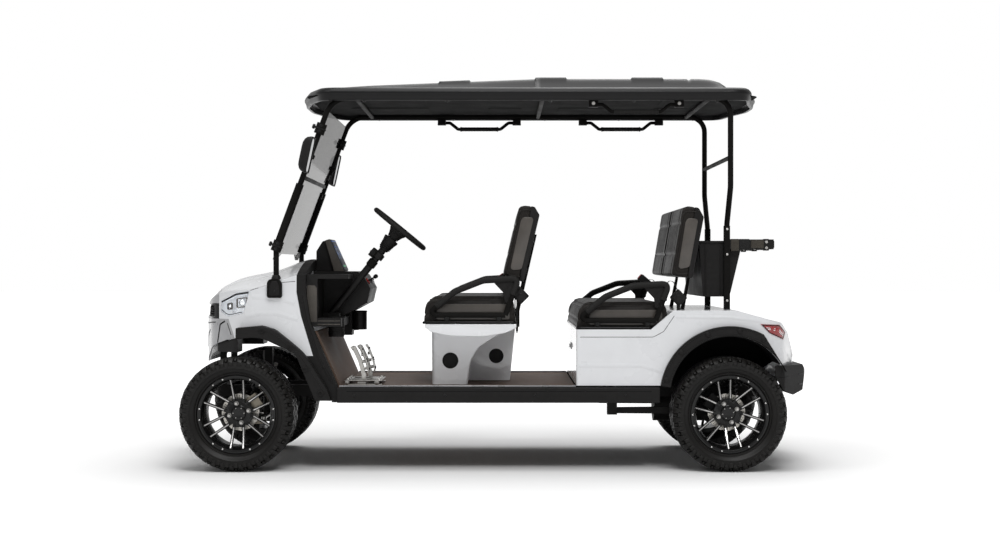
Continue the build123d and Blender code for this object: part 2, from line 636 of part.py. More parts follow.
def seat_base():
    """Hollow moulded seat box: a wide front part and a narrow spine behind it."""
    def mass(t):
        foot = FLOOR_TOP + SEAT_GAP - (50 if t else 0)
        pan = box(PAN_FRONT + t, PAN_REAR - t, -PAN_HALF + t, PAN_HALF - t, PAN_TOP - PAN_LIP, PAN_TOP - t)
        box_front = box(-323 + t, -144 - t, -POD_HALF + t, POD_HALF - t, foot, PAN_TOP - PAN_LIP + 10)
        spine = side([(-150, foot), (77 - t, foot), (PAN_REAR - t, PAN_TOP - PAN_LIP + 10),
                      (-150, PAN_TOP - PAN_LIP + 10)], -SPINE_HALF + t, SPINE_HALF - t)
        return pan + box_front + spine
    return mass(0) - mass(WALL)


save("front_seat_base", seat_base())


def cushion(x0, x1, z0, z1):
    return side([(x0, z0), (x1, z0), (x1, z1), (x0, z1)], -CUSHION_HALF, CUSHION_HALF, [20, 20, 45, 45])


save("front_seat_cushion", cushion(PAN_FRONT - 9, PAN_REAR - 2, PAN_TOP + SEAT_GAP, PAN_TOP + CUSHION_HEIGHT))

FRONT_BACK = [(37, 978), (118, 1328), (148, 1335), (202, 1324), (225, 1283), (145, 945)]
REAR_BACK = [(883, 978), (941, 1323), (970, 1332), (1026, 1318), (1050, 1273), (992, 966)]
BACK_OUT = BODY_HALF - 50.0
BACK_IN = 22.0
BRACKET_THICKNESS = 12.0


def backrests(view):
    return pair(side(view, -BACK_OUT, -BACK_IN, [12, 20, 10, 20, 20, 20]))


save("front_backrests", *backrests(FRONT_BACK))
save("rear_backrests", *backrests(REAR_BACK))


def back_x(view, z):
    """x of the backrest's rear face at height z."""
    (x1, z1), (x0, z0) = view[4], view[5]
    return x0 + (x1 - x0) * (z - z0) / (z1 - z0)


def armrest_tube(dx, dz):
    over = [(-300, 781), (-322, 800), (-200, 900), (-60, 955), (118, 965), (52, 781)]
    bar = tube([(x + dx, -ARM_Y, z + dz) for x, z in over], ARM_TUBE_R, [14, 70, 90, 28])
    bar += rod((-300 + dx, -ARM_Y, 781 + dz), (52 + dx, -ARM_Y, 781 + dz), ARM_TUBE_R)
    return bar


def front_seat_frame():
    arm = armrest_tube(0, 0)
    for x in (-240, 20):
        arm += box(x - 15, x + 15, -ARM_Y - 8, -ARM_Y + 8, PAN_TOP + SEAT_GAP, 781)
    pieces = pair(arm)
    x0 = PAN_REAR + SEAT_GAP
    gap = 0.6
    low_z, high_z = 950, 1190
    bar = side([(x0, 690), (x0, 770), (back_x(FRONT_BACK, low_z) + gap, low_z),
                (back_x(FRONT_BACK, high_z) + gap, high_z),
                (back_x(FRONT_BACK, high_z) + gap + BRACKET_THICKNESS, high_z),
                (back_x(FRONT_BACK, low_z) + gap + BRACKET_THICKNESS, low_z - 6),
                (x0 + BRACKET_THICKNESS, 765), (x0 + BRACKET_THICKNESS, 690)], -310, -270)
    tie = box(x0, x0 + BRACKET_THICKNESS, -311, 311, 700, 730)
    return pieces + [bar + across(bar) + tie]


save("front_seat_frame", *front_seat_frame())

# -------------------------------------------------------------------- rear body
DECK_FRONT = (892.0, DECK_Z)
LEDGE_END = 779.0
BODY_VIEW = [(REAR_BODY_FRONT, BODY_BOTTOM), (REAR_BODY_FRONT, LEDGE_Z), (LEDGE_END, LEDGE_Z), DECK_FRONT,
             (BODY_REAR - 315, DECK_Z), (BODY_REAR - 217, 777), (BODY_REAR - 90, 744), (BODY_REAR - 41, 689),
             (BODY_REAR - 8, 600), (BODY_REAR, 523), (BODY_REAR - 25, BODY_BOTTOM)]


def inset_view(points, t):
    """Side view moved in by t on every face."""
    face = make_face(Polyline(*[(x, z, 0) for x, z in points], close=True))
    inner = offset(face, amount=-t, kind=Kind.INTERSECTION) if t else face
    return inner


def rear_mass(inset):
    """The rear body as one closed block, its faces moved in by inset."""
    flat = inset_view(BODY_VIEW, inset)
    block = Pos(0, wide, 0) * Rot(90, 0, 0) * extrude(flat, amount=2 * wide)
    half = [(BODY_REAR - inset, BODY_HALF - 220), (BODY_REAR - 105, BODY_HALF - inset),
            (REAR_BODY_FRONT + inset, BODY_HALF - inset)]
    radii = [90, 130, 12]
    sides = plan([(x, -y) for x, y in half] + [(x, y) for x, y in reversed(half)], 300, 1000,
                 radii + radii[::-1])
    return block & sides


LAMP_VIEW = [(BODY_REAR - 200, 737), (BODY_REAR - 100, 732), (BODY_REAR - 60, 692), (BODY_REAR - 75, 657),
             (BODY_REAR - 155, 692)]


def rear_body():
    shell = rear_mass(0) - rear_mass(WALL)
    shell -= box(REAR_BODY_FRONT + WALL, BODY_REAR + 10, -BODY_HALF + WALL, BODY_HALF - WALL,
                 BODY_BOTTOM - 5, BODY_BOTTOM + WALL + 1)
    for hand in (-1, 1):
        shell -= rod((REAR_AXLE_X, hand * (LINER_IN + 8), ARCH_Z), (REAR_AXLE_X, hand * wide, ARCH_Z), ARCH_R)
        shell -= side(LAMP_VIEW, *sorted((hand * 300, hand * wide)))
    return shell


save("rear_body", rear_body())


def tail_lamps():
    x_mid = sum(x for x, z in LAMP_VIEW) / len(LAMP_VIEW)
    z_mid = sum(z for x, z in LAMP_VIEW) / len(LAMP_VIEW)
    view = [(x_mid + (x - x_mid) * 0.99, z_mid + (z - z_mid) * 0.985) for x, z in LAMP_VIEW]
    return pair((rear_mass(-4) - rear_mass(24)) & side(view, -wide, -300))


save("tail_lamps", *tail_lamps())


def arch_ring(r0, r1, y0, y1, start, end):
    """Sector of a ring about the rear arch's centre; angles in degrees above +X."""
    ring = rod((REAR_AXLE_X, y0, ARCH_Z), (REAR_AXLE_X, y1, ARCH_Z), r1)
    ring -= rod((REAR_AXLE_X, y0 - 1, ARCH_Z), (REAR_AXLE_X, y1 + 1, ARCH_Z), r0)
    reach = 3 * r1
    corners = [(REAR_AXLE_X, ARCH_Z)] + [
        (REAR_AXLE_X + reach * cos(radians(a)), ARCH_Z + reach * sin(radians(a)))
        for a in (start, (start + end) / 2, end)]
    return ring & side(corners, y0 - 1, y1 + 1)


def rear_liner():
    """Left wheel tub: a curved roof and an inner wall."""
    g = SEAT_GAP
    roof_arc = arch_ring(ARCH_R - WALL - g, ARCH_R - g, -BODY_HALF + WALL, -LINER_IN, 33, 172)
    wall_arc = arch_ring(150, ARCH_R - g, -LINER_IN - WALL, -LINER_IN, 33, 172)
    return roof_arc + wall_arc


save("rear_liners", *pair(rear_liner()))



def rear_flare():
    """Left band round the arch, narrowing towards its rear end."""
    band = arch_ring(ARCH_R, ARCH_R + ARCH_BAND, -FLARE_OUT, -BODY_HALF - SEAT_GAP, 24, 171)
    ends = [(ARCH_R + ARCH_BAND, 62), (3 * ARCH_R, 62), (3 * ARCH_R, 20), (ARCH_R + 9, 20)]
    corners = [(REAR_AXLE_X + r * cos(radians(a)), ARCH_Z + r * sin(radians(a))) for r, a in ends]
    return band - side(corners, -wide, 0)


save("rear_flares", *pair(rear_flare()))


def rear_bumper():
    x0, tip, end = BODY_REAR + SEAT_GAP, BODY_REAR + 52, BODY_REAR - 125
    w = BODY_HALF - 10
    shape = plan([(tip, -w + 150), (tip, w - 150), (end + 45, w), (end, w), (end, w - 70), (x0, w - 210),
                  (x0, -w + 210), (end, -w + 70), (end, -w), (end + 45, -w)], 379, 529,
                 [60, 60, 20, 5, 5, 20, 20, 5, 5, 20])
    view = [(tip - 277, 529), (tip - 17, 529), (tip, 500), (tip - 17, 400), (tip - 77, 379), (tip - 137, 400),
            (tip - 181, 470)]
    shape &= side(view, -wide, wide)
    shape -= rod((REAR_AXLE_X, -wide, AXLE_Z), (REAR_AXLE_X, wide, AXLE_Z), TYRE_R + TYRE_CLEARANCE)
    return shape - rear_mass(-SEAT_GAP) - box(tip - 277, tip, -RAIL_OUT - 5, RAIL_OUT + 5, RAIL_Z0, RAIL_TOP + 1)


save("rear_bumper", rear_bumper())

# -------------------------------------------------------------------- rear seat
rear_cushion = side([(408, LEDGE_Z + SEAT_GAP), (777, LEDGE_Z + SEAT_GAP), (862, 783), (870, 828),
                     (850, 843), (430, 843), (408, 826)], -CUSHION_HALF, CUSHION_HALF, [15, 5, 15, 8, 10, 10, 10])
save("rear_seat_cushion", rear_cushion)


def rear_seat_frame():
    arm = armrest_tube(SEAT_STEP_X, SEAT_STEP_Z)
    for x in (-240, 10):
        arm += box(x - 15 + SEAT_STEP_X, x + 15 + SEAT_STEP_X, -ARM_Y - 8, -ARM_Y + 8, LEDGE_Z + SEAT_GAP,
                   781 + SEAT_STEP_Z)
    gap = 0.6
    low_z, high_z = 975, 1150
    bar = side([(962, DECK_Z + SEAT_GAP), (back_x(REAR_BACK, low_z) + gap, low_z - 20),
                (back_x(REAR_BACK, high_z) + gap, high_z),
                (back_x(REAR_BACK, high_z) + gap + BRACKET_THICKNESS, high_z),
                (back_x(REAR_BACK, low_z) + gap + BRACKET_THICKNESS, low_z - 20),
                (980, DECK_Z + SEAT_GAP)], -300, -262)
    return pair(arm) + pair(bar)


save("rear_seat_frame", *rear_seat_frame())

# ------------------------------------------------------- roof frame and canopy


def strut_x(z):
    return STRUT_FOOT_X + (z - STRUT_KNEE_Z) * STRUT_RUN


def roof_side():
    """Left strut, roof rail and rear post, bent from one tube."""
    y = -POST_Y
    foot_x, top_x = STRUT_FOOT_X + FRONT_SHIFT, strut_x(ROOF_RAIL_Z) + FRONT_SHIFT
    return tube([(foot_x, y, 945), (foot_x, y, STRUT_KNEE_Z), (top_x, y, ROOF_RAIL_Z),
                 (REAR_POST_X, y, ROOF_RAIL_Z), (REAR_POST_X, y, 1425), (REAR_POST_X, -RACK_POST_Y, 1236),
                 (REAR_POST_X, -RACK_POST_Y, 1195)], POST_R, [60, 120, 85, 60, 60])


def along_strut(z0, z1, radius):
    return FRONT_PLACE * rod((strut_x(z0), -POST_Y, z0), (strut_x(z1), -POST_Y, z1), radius)


def roof_frame():
    half = RACK_POST_SIZE / 2
    nose = FRONT_PLACE * front_mass(-SEAT_GAP)
    body = roof_side() - nose
    body += box(REAR_POST_X - half, REAR_POST_X + half, -RACK_POST_Y - half, -RACK_POST_Y + half,
                             DECK_Z + SEAT_GAP, 1233)
    body += along_strut(1150, 1440, 20)
    for z in (STRUT_KNEE_Z + 15, ROOF_RAIL_Z - 154):
        body += along_strut(z - 26, z + 26, CLAMP_R)
    foot_x = STRUT_FOOT_X + FRONT_SHIFT
    foot = side([(foot_x - 38, 867), (foot_x + 37, 867), (foot_x + 37, 962), (foot_x - 38, 962)], -COWL_HALF - 12,
                -POST_Y + 30, [12, 12, 30, 24]) - nose
    body += foot
    body += across(body)
    for x in (strut_x(ROOF_RAIL_Z) + FRONT_SHIFT + 121.9, 240, 1080):
        body += rod((x, -POST_Y, ROOF_RAIL_Z), (x, POST_Y, ROOF_RAIL_Z), 12)
    body += rod((REAR_POST_X, -POST_Y, 1575), (REAR_POST_X, POST_Y, 1575), 11)
    return body


save("roof_frame", roof_frame())

ROOF_RIB = [(-291, -125), (202, 368), (695, 863)]
RIB_RISE = 8.0
CROWN_FLAT = (230.0, 1049.0)    # level part of the crown
CROWN_FALL = 0.0393         # ahead of it, down for each mm forward


def crown_z(x):
    return ROOF_TOP - max(0.0, CROWN_FLAT[0] - x) * CROWN_FALL


def canopy_plan(t):
    """Bowed top view of the canopy, moved in by t; the corners hold their share of it."""
    lead, tail = ROOF_FRONT + FRONT_SHIFT + t, ROOF_REAR - t
    half = [(lead, ROOF_HALF - 460), (lead + 50, ROOF_HALF - 210 - t * 0.34), (lead + 130 - t * 0.3, ROOF_HALF - t),
            (tail - 93 + t * 0.17, ROOF_HALF - t), (tail - 52, ROOF_HALF - 260), (tail, ROOF_HALF - 490)]
    radii = [500, 250, 120 - t, 110 - t, 90, 400]
    return [(x, -y) for x, y in half] + [(x, y) for x, y in reversed(half)], radii + radii[::-1]


def roof_canopy():
    outer, radii = canopy_plan(0)
    inner, inner_radii = canopy_plan(ROOF_RIM_BAND)
    skin_z = ROOF_RAIL_Z + POST_R + SEAT_GAP
    body = plan(outer, ROOF_RIM_Z0, ROOF_RIM_Z1, radii)
    body -= plan(inner, ROOF_RIM_Z0 - 1, skin_z, inner_radii)
    lead = ROOF_FRONT + FRONT_SHIFT
    ridge = [(lead + 110, ROOF_RIM_Z1 - 1), (lead + 200, ROOF_TOP - ROOF_CROWN * 0.72), (lead + 375, crown_z(lead + 375)),
             (CROWN_FLAT[0], ROOF_TOP), (CROWN_FLAT[1], ROOF_TOP), (1150, ROOF_TOP - ROOF_CROWN * 0.4),
             (1200, ROOF_RIM_Z1 - 1)]
    crown = side(ridge, -470, 470)
    slope = front([(-470, ROOF_RIM_Z1 - 1), (-395, ROOF_TOP + RIB_RISE), (395, ROOF_TOP + RIB_RISE),
                   (470, ROOF_RIM_Z1 - 1)], lead + 60, 1300)
    body += crown & slope
    for x0, x1 in ROOF_RIB:
        body += side([(x0, ROOF_RIM_Z1 - 1), (x1, ROOF_RIM_Z1 - 1), (x1, crown_z(x1) + RIB_RISE),
                      (x0, crown_z(x0) + RIB_RISE)], -385, 385)
    return body


save("roof_canopy", roof_canopy())


def grab_handle(x0, x1):
    """Left grab handle under the roof rail."""
    top = ROOF_RAIL_Z - POST_R - SEAT_GAP
    y = -POST_Y
    bar = tube([(x0 + 10, y, top - 18), (x0 + 70, y, top - 18), (x0 + 115, y, top - 54), (x1 - 115, y, top - 54),
                (x1 - 70, y, top - 18), (x1 - 10, y, top - 18)], 9, [18, 18, 18, 18])
    for x in (x0, x1 - 46):
        bar += box(x, x + 46, y - 14, y + 14, top - 30, top)
    return bar


front_handle = grab_handle(-328, 143)
rear_handle = grab_handle(472, 950)
save("grab_handles", across(front_handle), rear_handle, across(rear_handle))

GLASS_THICKNESS = 5.0
GLASS_HALF = POST_Y - CLAMP_R - SEAT_GAP


def windshield():
    """Two clear panes in the plane of the struts, joined by the fold strip."""
    lean = (1 + STRUT_RUN ** 2) ** 0.5
    near = -GLASS_THICKNESS / 2 * lean
    far = -near

    def pane(z0, z1, thick=0.0):
        return side([(strut_x(z0) - near, z0), (strut_x(z1) - near, z1), (strut_x(z1) - far - thick, z1),
                     (strut_x(z0) - far - thick, z0)], -GLASS_HALF, GLASS_HALF)
    lower = pane(1060, 1472)
    end = GLASS_HALF - 100
    lower -= front([(-end, 1059), (-end + 130, 1090), (end - 130, 1090), (end, 1059)], -1300, -900)
    return lower + pane(1478, ROOF_RAIL_Z - 62) + pane(1466, 1484, 6)


save("windshield", FRONT_PLACE * windshield())


def mirror_head():
    """Left side mirror on its arm."""
    z = 1580
    x = strut_x(z)
    housing = fillet((Box(48, 148, 183)).edges().filter_by(Axis.X), 35)
    head = Pos(x - 6, -POST_Y - 130, z) * Rot(0, 12, 0) * housing
    arm = rod((x, -POST_Y - POST_R - SEAT_GAP, z), (x, -POST_Y - 65, z), 10)
    return head + arm


save("mirrors", *pair(FRONT_PLACE * mirror_head()))

# --------------------------------------------------------- bag rack and basket
RACK_BAR_Z = (1113.0, 1163.0)
RACK_REACH = 1424.0
BASKET_REAR = (1202.0, 1270.0)  # x of its rear face at the bottom and the top


def bag_rack():
    front_x, rear_x = 1046, REAR_POST_X + RACK_POST_SIZE / 2 + SEAT_GAP
    foot_x, top_x = BASKET_REAR
    view = [(front_x + 20, BASKET_FLOOR), (foot_x, BASKET_FLOOR), (top_x, BASKET_TOP), (front_x, BASKET_TOP)]
    inner = [(front_x + 25, BASKET_FLOOR + WALL), (foot_x - 4, BASKET_FLOOR + WALL), (top_x - 5, BASKET_TOP + 1),
             (front_x + 5, BASKET_TOP + 1)]
    hollow = side(inner, -BASKET_HALF + WALL, BASKET_HALF - WALL)
    basket = side(view, -BASKET_HALF, BASKET_HALF) - hollow
    clear = hollow + box(front_x, top_x - 5, -BASKET_HALF + WALL, BASKET_HALF - WALL, BASKET_TOP, 1200)
    low, high = RACK_BAR_Z
    for y0, y1 in ((-410, -380), (-15, 15), (380, 410)):
        start = rear_x if abs(y0 + y1) > 100 else top_x - 8
        basket += box(start, RACK_REACH, y0, y1, low, high)
    basket += box(rear_x, top_x + 4, -410, 410, low, high) - clear
    basket += box(RACK_REACH - 30, RACK_REACH, -410, 410, low, high)
    return basket - clear


save("bag_rack", bag_rack())


BELT_Y = BODY_HALF - 62.0
BUCKLE_Y = 12.0             # the buckles stand in the gap between the backrests
STALK_R = 5.0


def retractor(x, z, strap):
    """Belt reel turned on its corner, carried by a flat strap."""
    return Pos(x, -BELT_Y, z) * Rot(0, 45, 0) * Box(62, 26, 58) + strap


def buckle(points, lean):
    """Buckle on a bent stalk."""
    x, y, z = points[-1]
    head = Pos(x, y, z) * Rot(0, lean, 0) * Pos(0, 0, 24) * Box(34, 15, 64)
    return tube([(px, py, pz) for px, py, pz in points], STALK_R, [30] * (len(points) - 2)) + head


strap_x = PAN_REAR + SEAT_GAP
stalk_x = strap_x + BRACKET_THICKNESS + SEAT_GAP + STALK_R
front_reel = retractor(128, PAN_TOP + 141, box(strap_x, strap_x + 6, -BELT_Y - 12, -BELT_Y + 12, 690, 862))
front_buckle = buckle([(stalk_x, -BUCKLE_Y, 702), (stalk_x, -BUCKLE_Y, 860), (62, -BUCKLE_Y, 935)], -36)
rear_reel = retractor(922, 868, box(914, 930, -BELT_Y - 12, -BELT_Y + 12, DECK_Z + SEAT_GAP, 850))
rear_buckle = buckle([(896, -BUCKLE_Y, DECK_Z + SEAT_GAP), (896, -BUCKLE_Y, 880), (815, -BUCKLE_Y, 935)], -50)
save("seat_belts", *[piece for part in (front_reel, front_buckle, rear_reel, rear_buckle) for piece in pair(part)])

battery = box(450, 760, -260, 260, RAIL_TOP + SEAT_GAP, 640)
save("battery_pack", battery)
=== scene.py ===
"""Looks of a four-seat golf cart, built round its packed solids.

Laid out as an add-on: every piece has an operator, and the sizes and colours
that a user would change are scene properties. All lengths are metres.
"""

from math import atan, ceil, cos, degrees, pi, radians, sin, sqrt, tan

import bmesh
import bpy
from bpy.props import FloatProperty, FloatVectorProperty, IntProperty, PointerProperty
from mathutils import Matrix, Vector
from mathutils.bvhtree import BVHTree


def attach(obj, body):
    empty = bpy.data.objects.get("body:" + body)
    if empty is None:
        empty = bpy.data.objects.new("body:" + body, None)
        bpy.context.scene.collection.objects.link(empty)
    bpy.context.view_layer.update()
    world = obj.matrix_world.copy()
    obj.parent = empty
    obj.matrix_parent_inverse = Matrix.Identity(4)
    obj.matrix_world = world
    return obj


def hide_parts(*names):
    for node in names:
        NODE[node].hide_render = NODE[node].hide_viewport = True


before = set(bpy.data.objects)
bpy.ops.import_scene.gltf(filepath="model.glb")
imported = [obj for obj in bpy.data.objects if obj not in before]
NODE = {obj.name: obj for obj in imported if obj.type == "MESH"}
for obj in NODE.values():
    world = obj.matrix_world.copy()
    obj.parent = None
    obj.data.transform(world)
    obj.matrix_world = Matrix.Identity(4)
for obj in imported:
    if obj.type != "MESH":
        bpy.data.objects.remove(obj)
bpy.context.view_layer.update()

bl_info = {
    "name": "Golf Cart",
    "version": (1, 0, 0),
    "blender": (4, 5, 0),
    "location": "View3D > Sidebar > Golf Cart",
    "description": "Builds the visible pieces of a four-seat golf cart round its solids",
    "category": "Object",
}

CHASSIS = "chassis"
SIDES = (-1, 1)             # left, right, as signs of Y
HANDS = [(-1, "left"), (1, "right")]
ORIGIN, ALONG_X, ALONG_Y, UP = (0, 0, 0), (1, 0, 0), (0, 1, 0), (0, 0, 1)
WELD = 0.00002              # vertices of a solid that are closer than this are one


# ------------------------------------------------------------------ properties
def length(name, description, default, low=0.0, high=1.0):
    return FloatProperty(name=name, description=description, default=default, min=low, max=high,
                         unit="LENGTH", subtype="DISTANCE")


def colour(name, description, default):
    return FloatVectorProperty(name=name, description=description, default=default, min=0.0, max=1.0,
                               size=3, subtype="COLOR")


class CART_PG_sizes(bpy.types.PropertyGroup):
    """Sizes of the visible details"""
    edge_round: length("Panel edge", "Rounding along the edges of moulded panels", 0.004, 0.0, 0.02)
    lug_depth: length("Tread depth", "Height of the tread blocks above the tyre's casing", 0.011, 0.004, 0.02)
    lug_count: IntProperty(name="Tread blocks", description="Blocks round each row of the tread",
                           default=36, min=20, max=60)
    rivet_radius: length("Rim rivet", "Radius of the bright rivets round the rim", 0.0048, 0.001, 0.01)
    piping: length("Piping", "Radius of the piped edges on the cushions", 0.004, 0.001, 0.01)
    stitch: length("Stitch", "Length of one stitch on the upholstery", 0.007, 0.002, 0.02)
    crown: length("Cushion crown", "How far the seat cushions swell", 0.014, 0.0, 0.04)
    bolt_head: length("Bolt head", "Radius of the visible bolt heads", 0.008, 0.002, 0.02)


class CART_PG_colours(bpy.types.PropertyGroup):
    """Colours of the finishes"""
    paint: colour("Body paint", "White body panels", (0.80, 0.81, 0.83))
    plastic: colour("Black plastic", "Grained trim and arches", (0.0085, 0.0080, 0.0078))
    gloss: colour("Gloss black", "Roof, grille and screen surround", (0.0045, 0.0045, 0.0048))
    steel: colour("Coated steel", "Tubes, brackets and frame", (0.0085, 0.0080, 0.0075))
    vinyl: colour("Seat vinyl", "Cushions and backrests", (0.016, 0.0140, 0.0125))
    rubber: colour("Tyre rubber", "Tread and sidewalls", (0.0062, 0.0056, 0.0050))
    mat: colour("Floor mat", "Ribbed floor mat", (0.115, 0.078, 0.060))
    machined: colour("Machined alloy", "Cut faces of the wheels and discs", (0.60, 0.59, 0.58))
    silver: colour("Silver trim", "Nose panel and bright strips", (0.36, 0.36, 0.37))
    lamp_red: colour("Tail lamp", "Red lens of the tail lamps", (0.55, 0.012, 0.016))
    floor: colour("Studio floor", "Floor and backdrop", (0.90, 0.90, 0.90))


# ------------------------------------------------------------------ node helpers
class Graph:
    """Short hand for the nodes and links of one tree."""

    def __init__(self, tree):
        self.tree = tree

    def put(self, socket, value):
        if isinstance(value, bpy.types.NodeSocket):
            self.tree.links.new(value, socket)
        else:
            socket.default_value = value

    def add(self, kind, sockets=None, **settings):
        node = self.tree.nodes.new("ShaderNode" + kind)
        for key, value in settings.items():
            setattr(node, key, value)
        for key, value in (sockets or {}).items():
            self.put(node.inputs[key], value)
        return node

    def math(self, operation, a, b=0.0):
        return self.add("Math", {0: a, 1: b}, operation=operation).outputs[0]

    def times(self, a, b):
        return self.math("MULTIPLY", a, b)

    def plus(self, a, b):
        return self.math("ADD", a, b)

    def mix(self, factor, a, b):
        return self.add("Mix", {"Factor": factor, 6: a, 7: b}, data_type="RGBA").outputs[2]

    def spread(self, value, low, high, to_low=0.0, to_high=1.0):
        return self.add("MapRange", {"Value": value, "From Min": low, "From Max": high,
                                     "To Min": to_low, "To Max": to_high}).outputs[0]

    def noise(self, spot, scale, **more):
        """Noise between 0 and 1; more sets its Detail and Roughness."""
        return self.add("TexNoise", {"Vector": spot, "Scale": scale, **more}).outputs["Fac"]

    def cells(self, spot, scale, feature="F1"):
        return self.add("TexVoronoi", {"Vector": spot, "Scale": scale}, feature=feature).outputs["Distance"]

    def spot(self, stretch=(1, 1, 1)):
        """The piece's own coordinates, stretched for grain that runs one way."""
        place = self.add("TexCoord").outputs["Object"]
        return self.add("Mapping", {"Vector": place, "Scale": stretch}).outputs[0]

    def effect(self, name, **sockets):
        """Outputs of a shared effect that is placed here with its own values."""
        node = self.tree.nodes.new("ShaderNodeGroup")
        node.node_tree = shared(name)
        for key, value in sockets.items():
            self.put(node.inputs[key.replace("_", " ").title()], value)
        return node.outputs


def moulded_grain(graph, given, result):
    """Fine pebbled grain of moulded plastic, with larger soft patches."""
    spot = graph.spot()
    fine = graph.cells(spot, given["Scale"])
    soft = graph.noise(spot, graph.times(given["Scale"], 0.4), Detail=3.0)
    graph.put(result["Height"], graph.plus(graph.times(fine, 0.6), graph.times(soft, 0.6)))
    broad = graph.noise(spot, given["Patch Scale"], Detail=4.0, Roughness=0.6)
    graph.put(result["Patches"], graph.spread(broad, 0.35, 0.65))


def hide_grain(graph, given, result):
    """Creased cells of vinyl or leather, finer in the hollows."""
    spot = graph.spot()
    ridge = graph.spread(graph.cells(spot, given["Scale"], "DISTANCE_TO_EDGE"), 0.0, 0.16)
    small = graph.cells(spot, graph.times(given["Scale"], 2.3), "DISTANCE_TO_EDGE")
    fine = graph.spread(small, 0.0, 0.2)
    graph.put(result["Height"], graph.plus(graph.times(ridge, 0.7), graph.times(fine, 0.3)))
    broad = graph.noise(spot, given["Patch Scale"], Detail=5.0)
    graph.put(result["Patches"], graph.spread(broad, 0.3, 0.7))


def edge_wear(graph, given, result):
    """Mask of the outer edges, broken up by noise."""
    sharp = graph.add("NewGeometry").outputs["Pointiness"]
    broken = graph.noise(graph.spot(), given["Break Up"], Detail=6.0)
    edge = graph.spread(sharp, given["Start"], graph.plus(given["Start"], 0.06))
    graph.put(result["Mask"], graph.times(edge, graph.spread(broken, 0.35, 0.65)))


def dust(graph, given, result):
    """Thin dust that gathers on faces turned up."""
    up = graph.add("SeparateXYZ", {0: graph.add("NewGeometry").outputs["Normal"]}).outputs["Z"]
    cloud = graph.noise(graph.spot(), given["Scale"], Detail=5.0, Roughness=0.65)
    lying = graph.times(graph.spread(up, 0.1, 1.0), given["Amount"])
    graph.put(result["Mask"], graph.times(lying, graph.spread(cloud, 0.38, 0.66)))


def turned_lines(graph, given, result):
    """Fine brushed lines that run along the piece's Y axis, with larger soft patches."""
    graph.put(result["Height"], graph.noise(graph.spot((1, 0.04, 1)), given["Scale"], Detail=2.0))
    broad = graph.noise(graph.add("TexCoord").outputs["Object"], 9.0, Detail=3.0)
    graph.put(result["Patches"], graph.spread(broad, 0.35, 0.65))


EFFECTS = {  # name: (recipe, inputs with their usual values, outputs)
    "Moulded Grain": (moulded_grain, {"Scale": 900.0, "Patch Scale": 6.0}, ["Height", "Patches"]),
    "Hide Grain": (hide_grain, {"Scale": 420.0, "Patch Scale": 9.0}, ["Height", "Patches"]),
    "Edge Wear": (edge_wear, {"Start": 0.54, "Break Up": 30.0}, ["Mask"]),
    "Dust": (dust, {"Scale": 12.0, "Amount": 0.5}, ["Mask"]),
    "Turned Lines": (turned_lines, {"Scale": 800.0}, ["Height", "Patches"]),
}


def shared(name):
    """The shader node group of an effect, with named sockets, built on first use."""
    tree = bpy.data.node_groups.get(name)
    if tree:
        return tree
    build, inputs, outputs = EFFECTS[name]
    tree = bpy.data.node_groups.new(name, "ShaderNodeTree")
    for label, usual in inputs.items():
        socket = tree.interface.new_socket(label, in_out="INPUT", socket_type="NodeSocketFloat")
        socket.default_value = usual
    for label in outputs:
        tree.interface.new_socket(label, in_out="OUTPUT", socket_type="NodeSocketFloat")
    given = tree.nodes.new("NodeGroupInput").outputs
    result = tree.nodes.new("NodeGroupOutput").inputs
    build(Graph(tree), given, result)
    return tree


# ---------------------------------------------------------------------- finishes
def rgba(value, scale=1.0):
    return (*[min(1.0, c * scale) for c in value[:3]], 1.0)


class Surface(Graph):
    """Tree of a new material, round its Principled shader."""

    def __init__(self, name):
        self.material = bpy.data.materials.new(name)
        self.material.use_nodes = True
        super().__init__(self.material.node_tree)
        self.shader = self.tree.nodes["Principled BSDF"]

    def feed(self, **values):
        """Numbers, colours or outputs for the shader's sockets, whose names have underscores here."""
        for key, value in values.items():
            self.put(self.shader.inputs[key.replace("_", " ")], value)
        return self.material

    def bump(self, height, distance, strength=1.0):
        node = self.add("Bump", {"Height": height, "Distance": distance, "Strength": strength})
        self.feed(Normal=node.outputs["Normal"])


def grained(name, tint, rough, grain=900.0, depth=0.00012, wear=0.35, dusty=0.25, coat=0.0, metal=0.0,
            gloss_span=0.12, specular=0.18):
    """Moulded or coated surface: pebbled grain, soft patches, paler edges and a little dust."""
    skin = Surface(name)
    pebble = skin.effect("Moulded Grain", scale=grain, patch_scale=7.0)
    worn = skin.effect("Edge Wear", start=0.53, break_up=40.0)["Mask"]
    lying = skin.effect("Dust", scale=9.0, amount=dusty)["Mask"]
    base = skin.mix(pebble["Patches"], rgba(tint, 0.75), rgba(tint, 1.12))
    base = skin.mix(skin.times(worn, wear), base, rgba([c * 1.5 + 0.006 for c in tint]))
    base = skin.mix(skin.times(lying, 0.35), base, rgba([c * 0.8 + 0.016 for c in tint]))
    low, high = max(0.02, rough - gloss_span / 2), rough + gloss_span / 2
    uneven = skin.spread(pebble["Patches"], 0.0, 1.0, low, high)
    skin.bump(pebble["Height"], depth)
    return skin.feed(Base_Color=base, Roughness=skin.plus(uneven, skin.times(lying, 0.15)), Metallic=metal,
                     Coat_Weight=coat, Coat_Roughness=0.04, Specular_IOR_Level=specular)


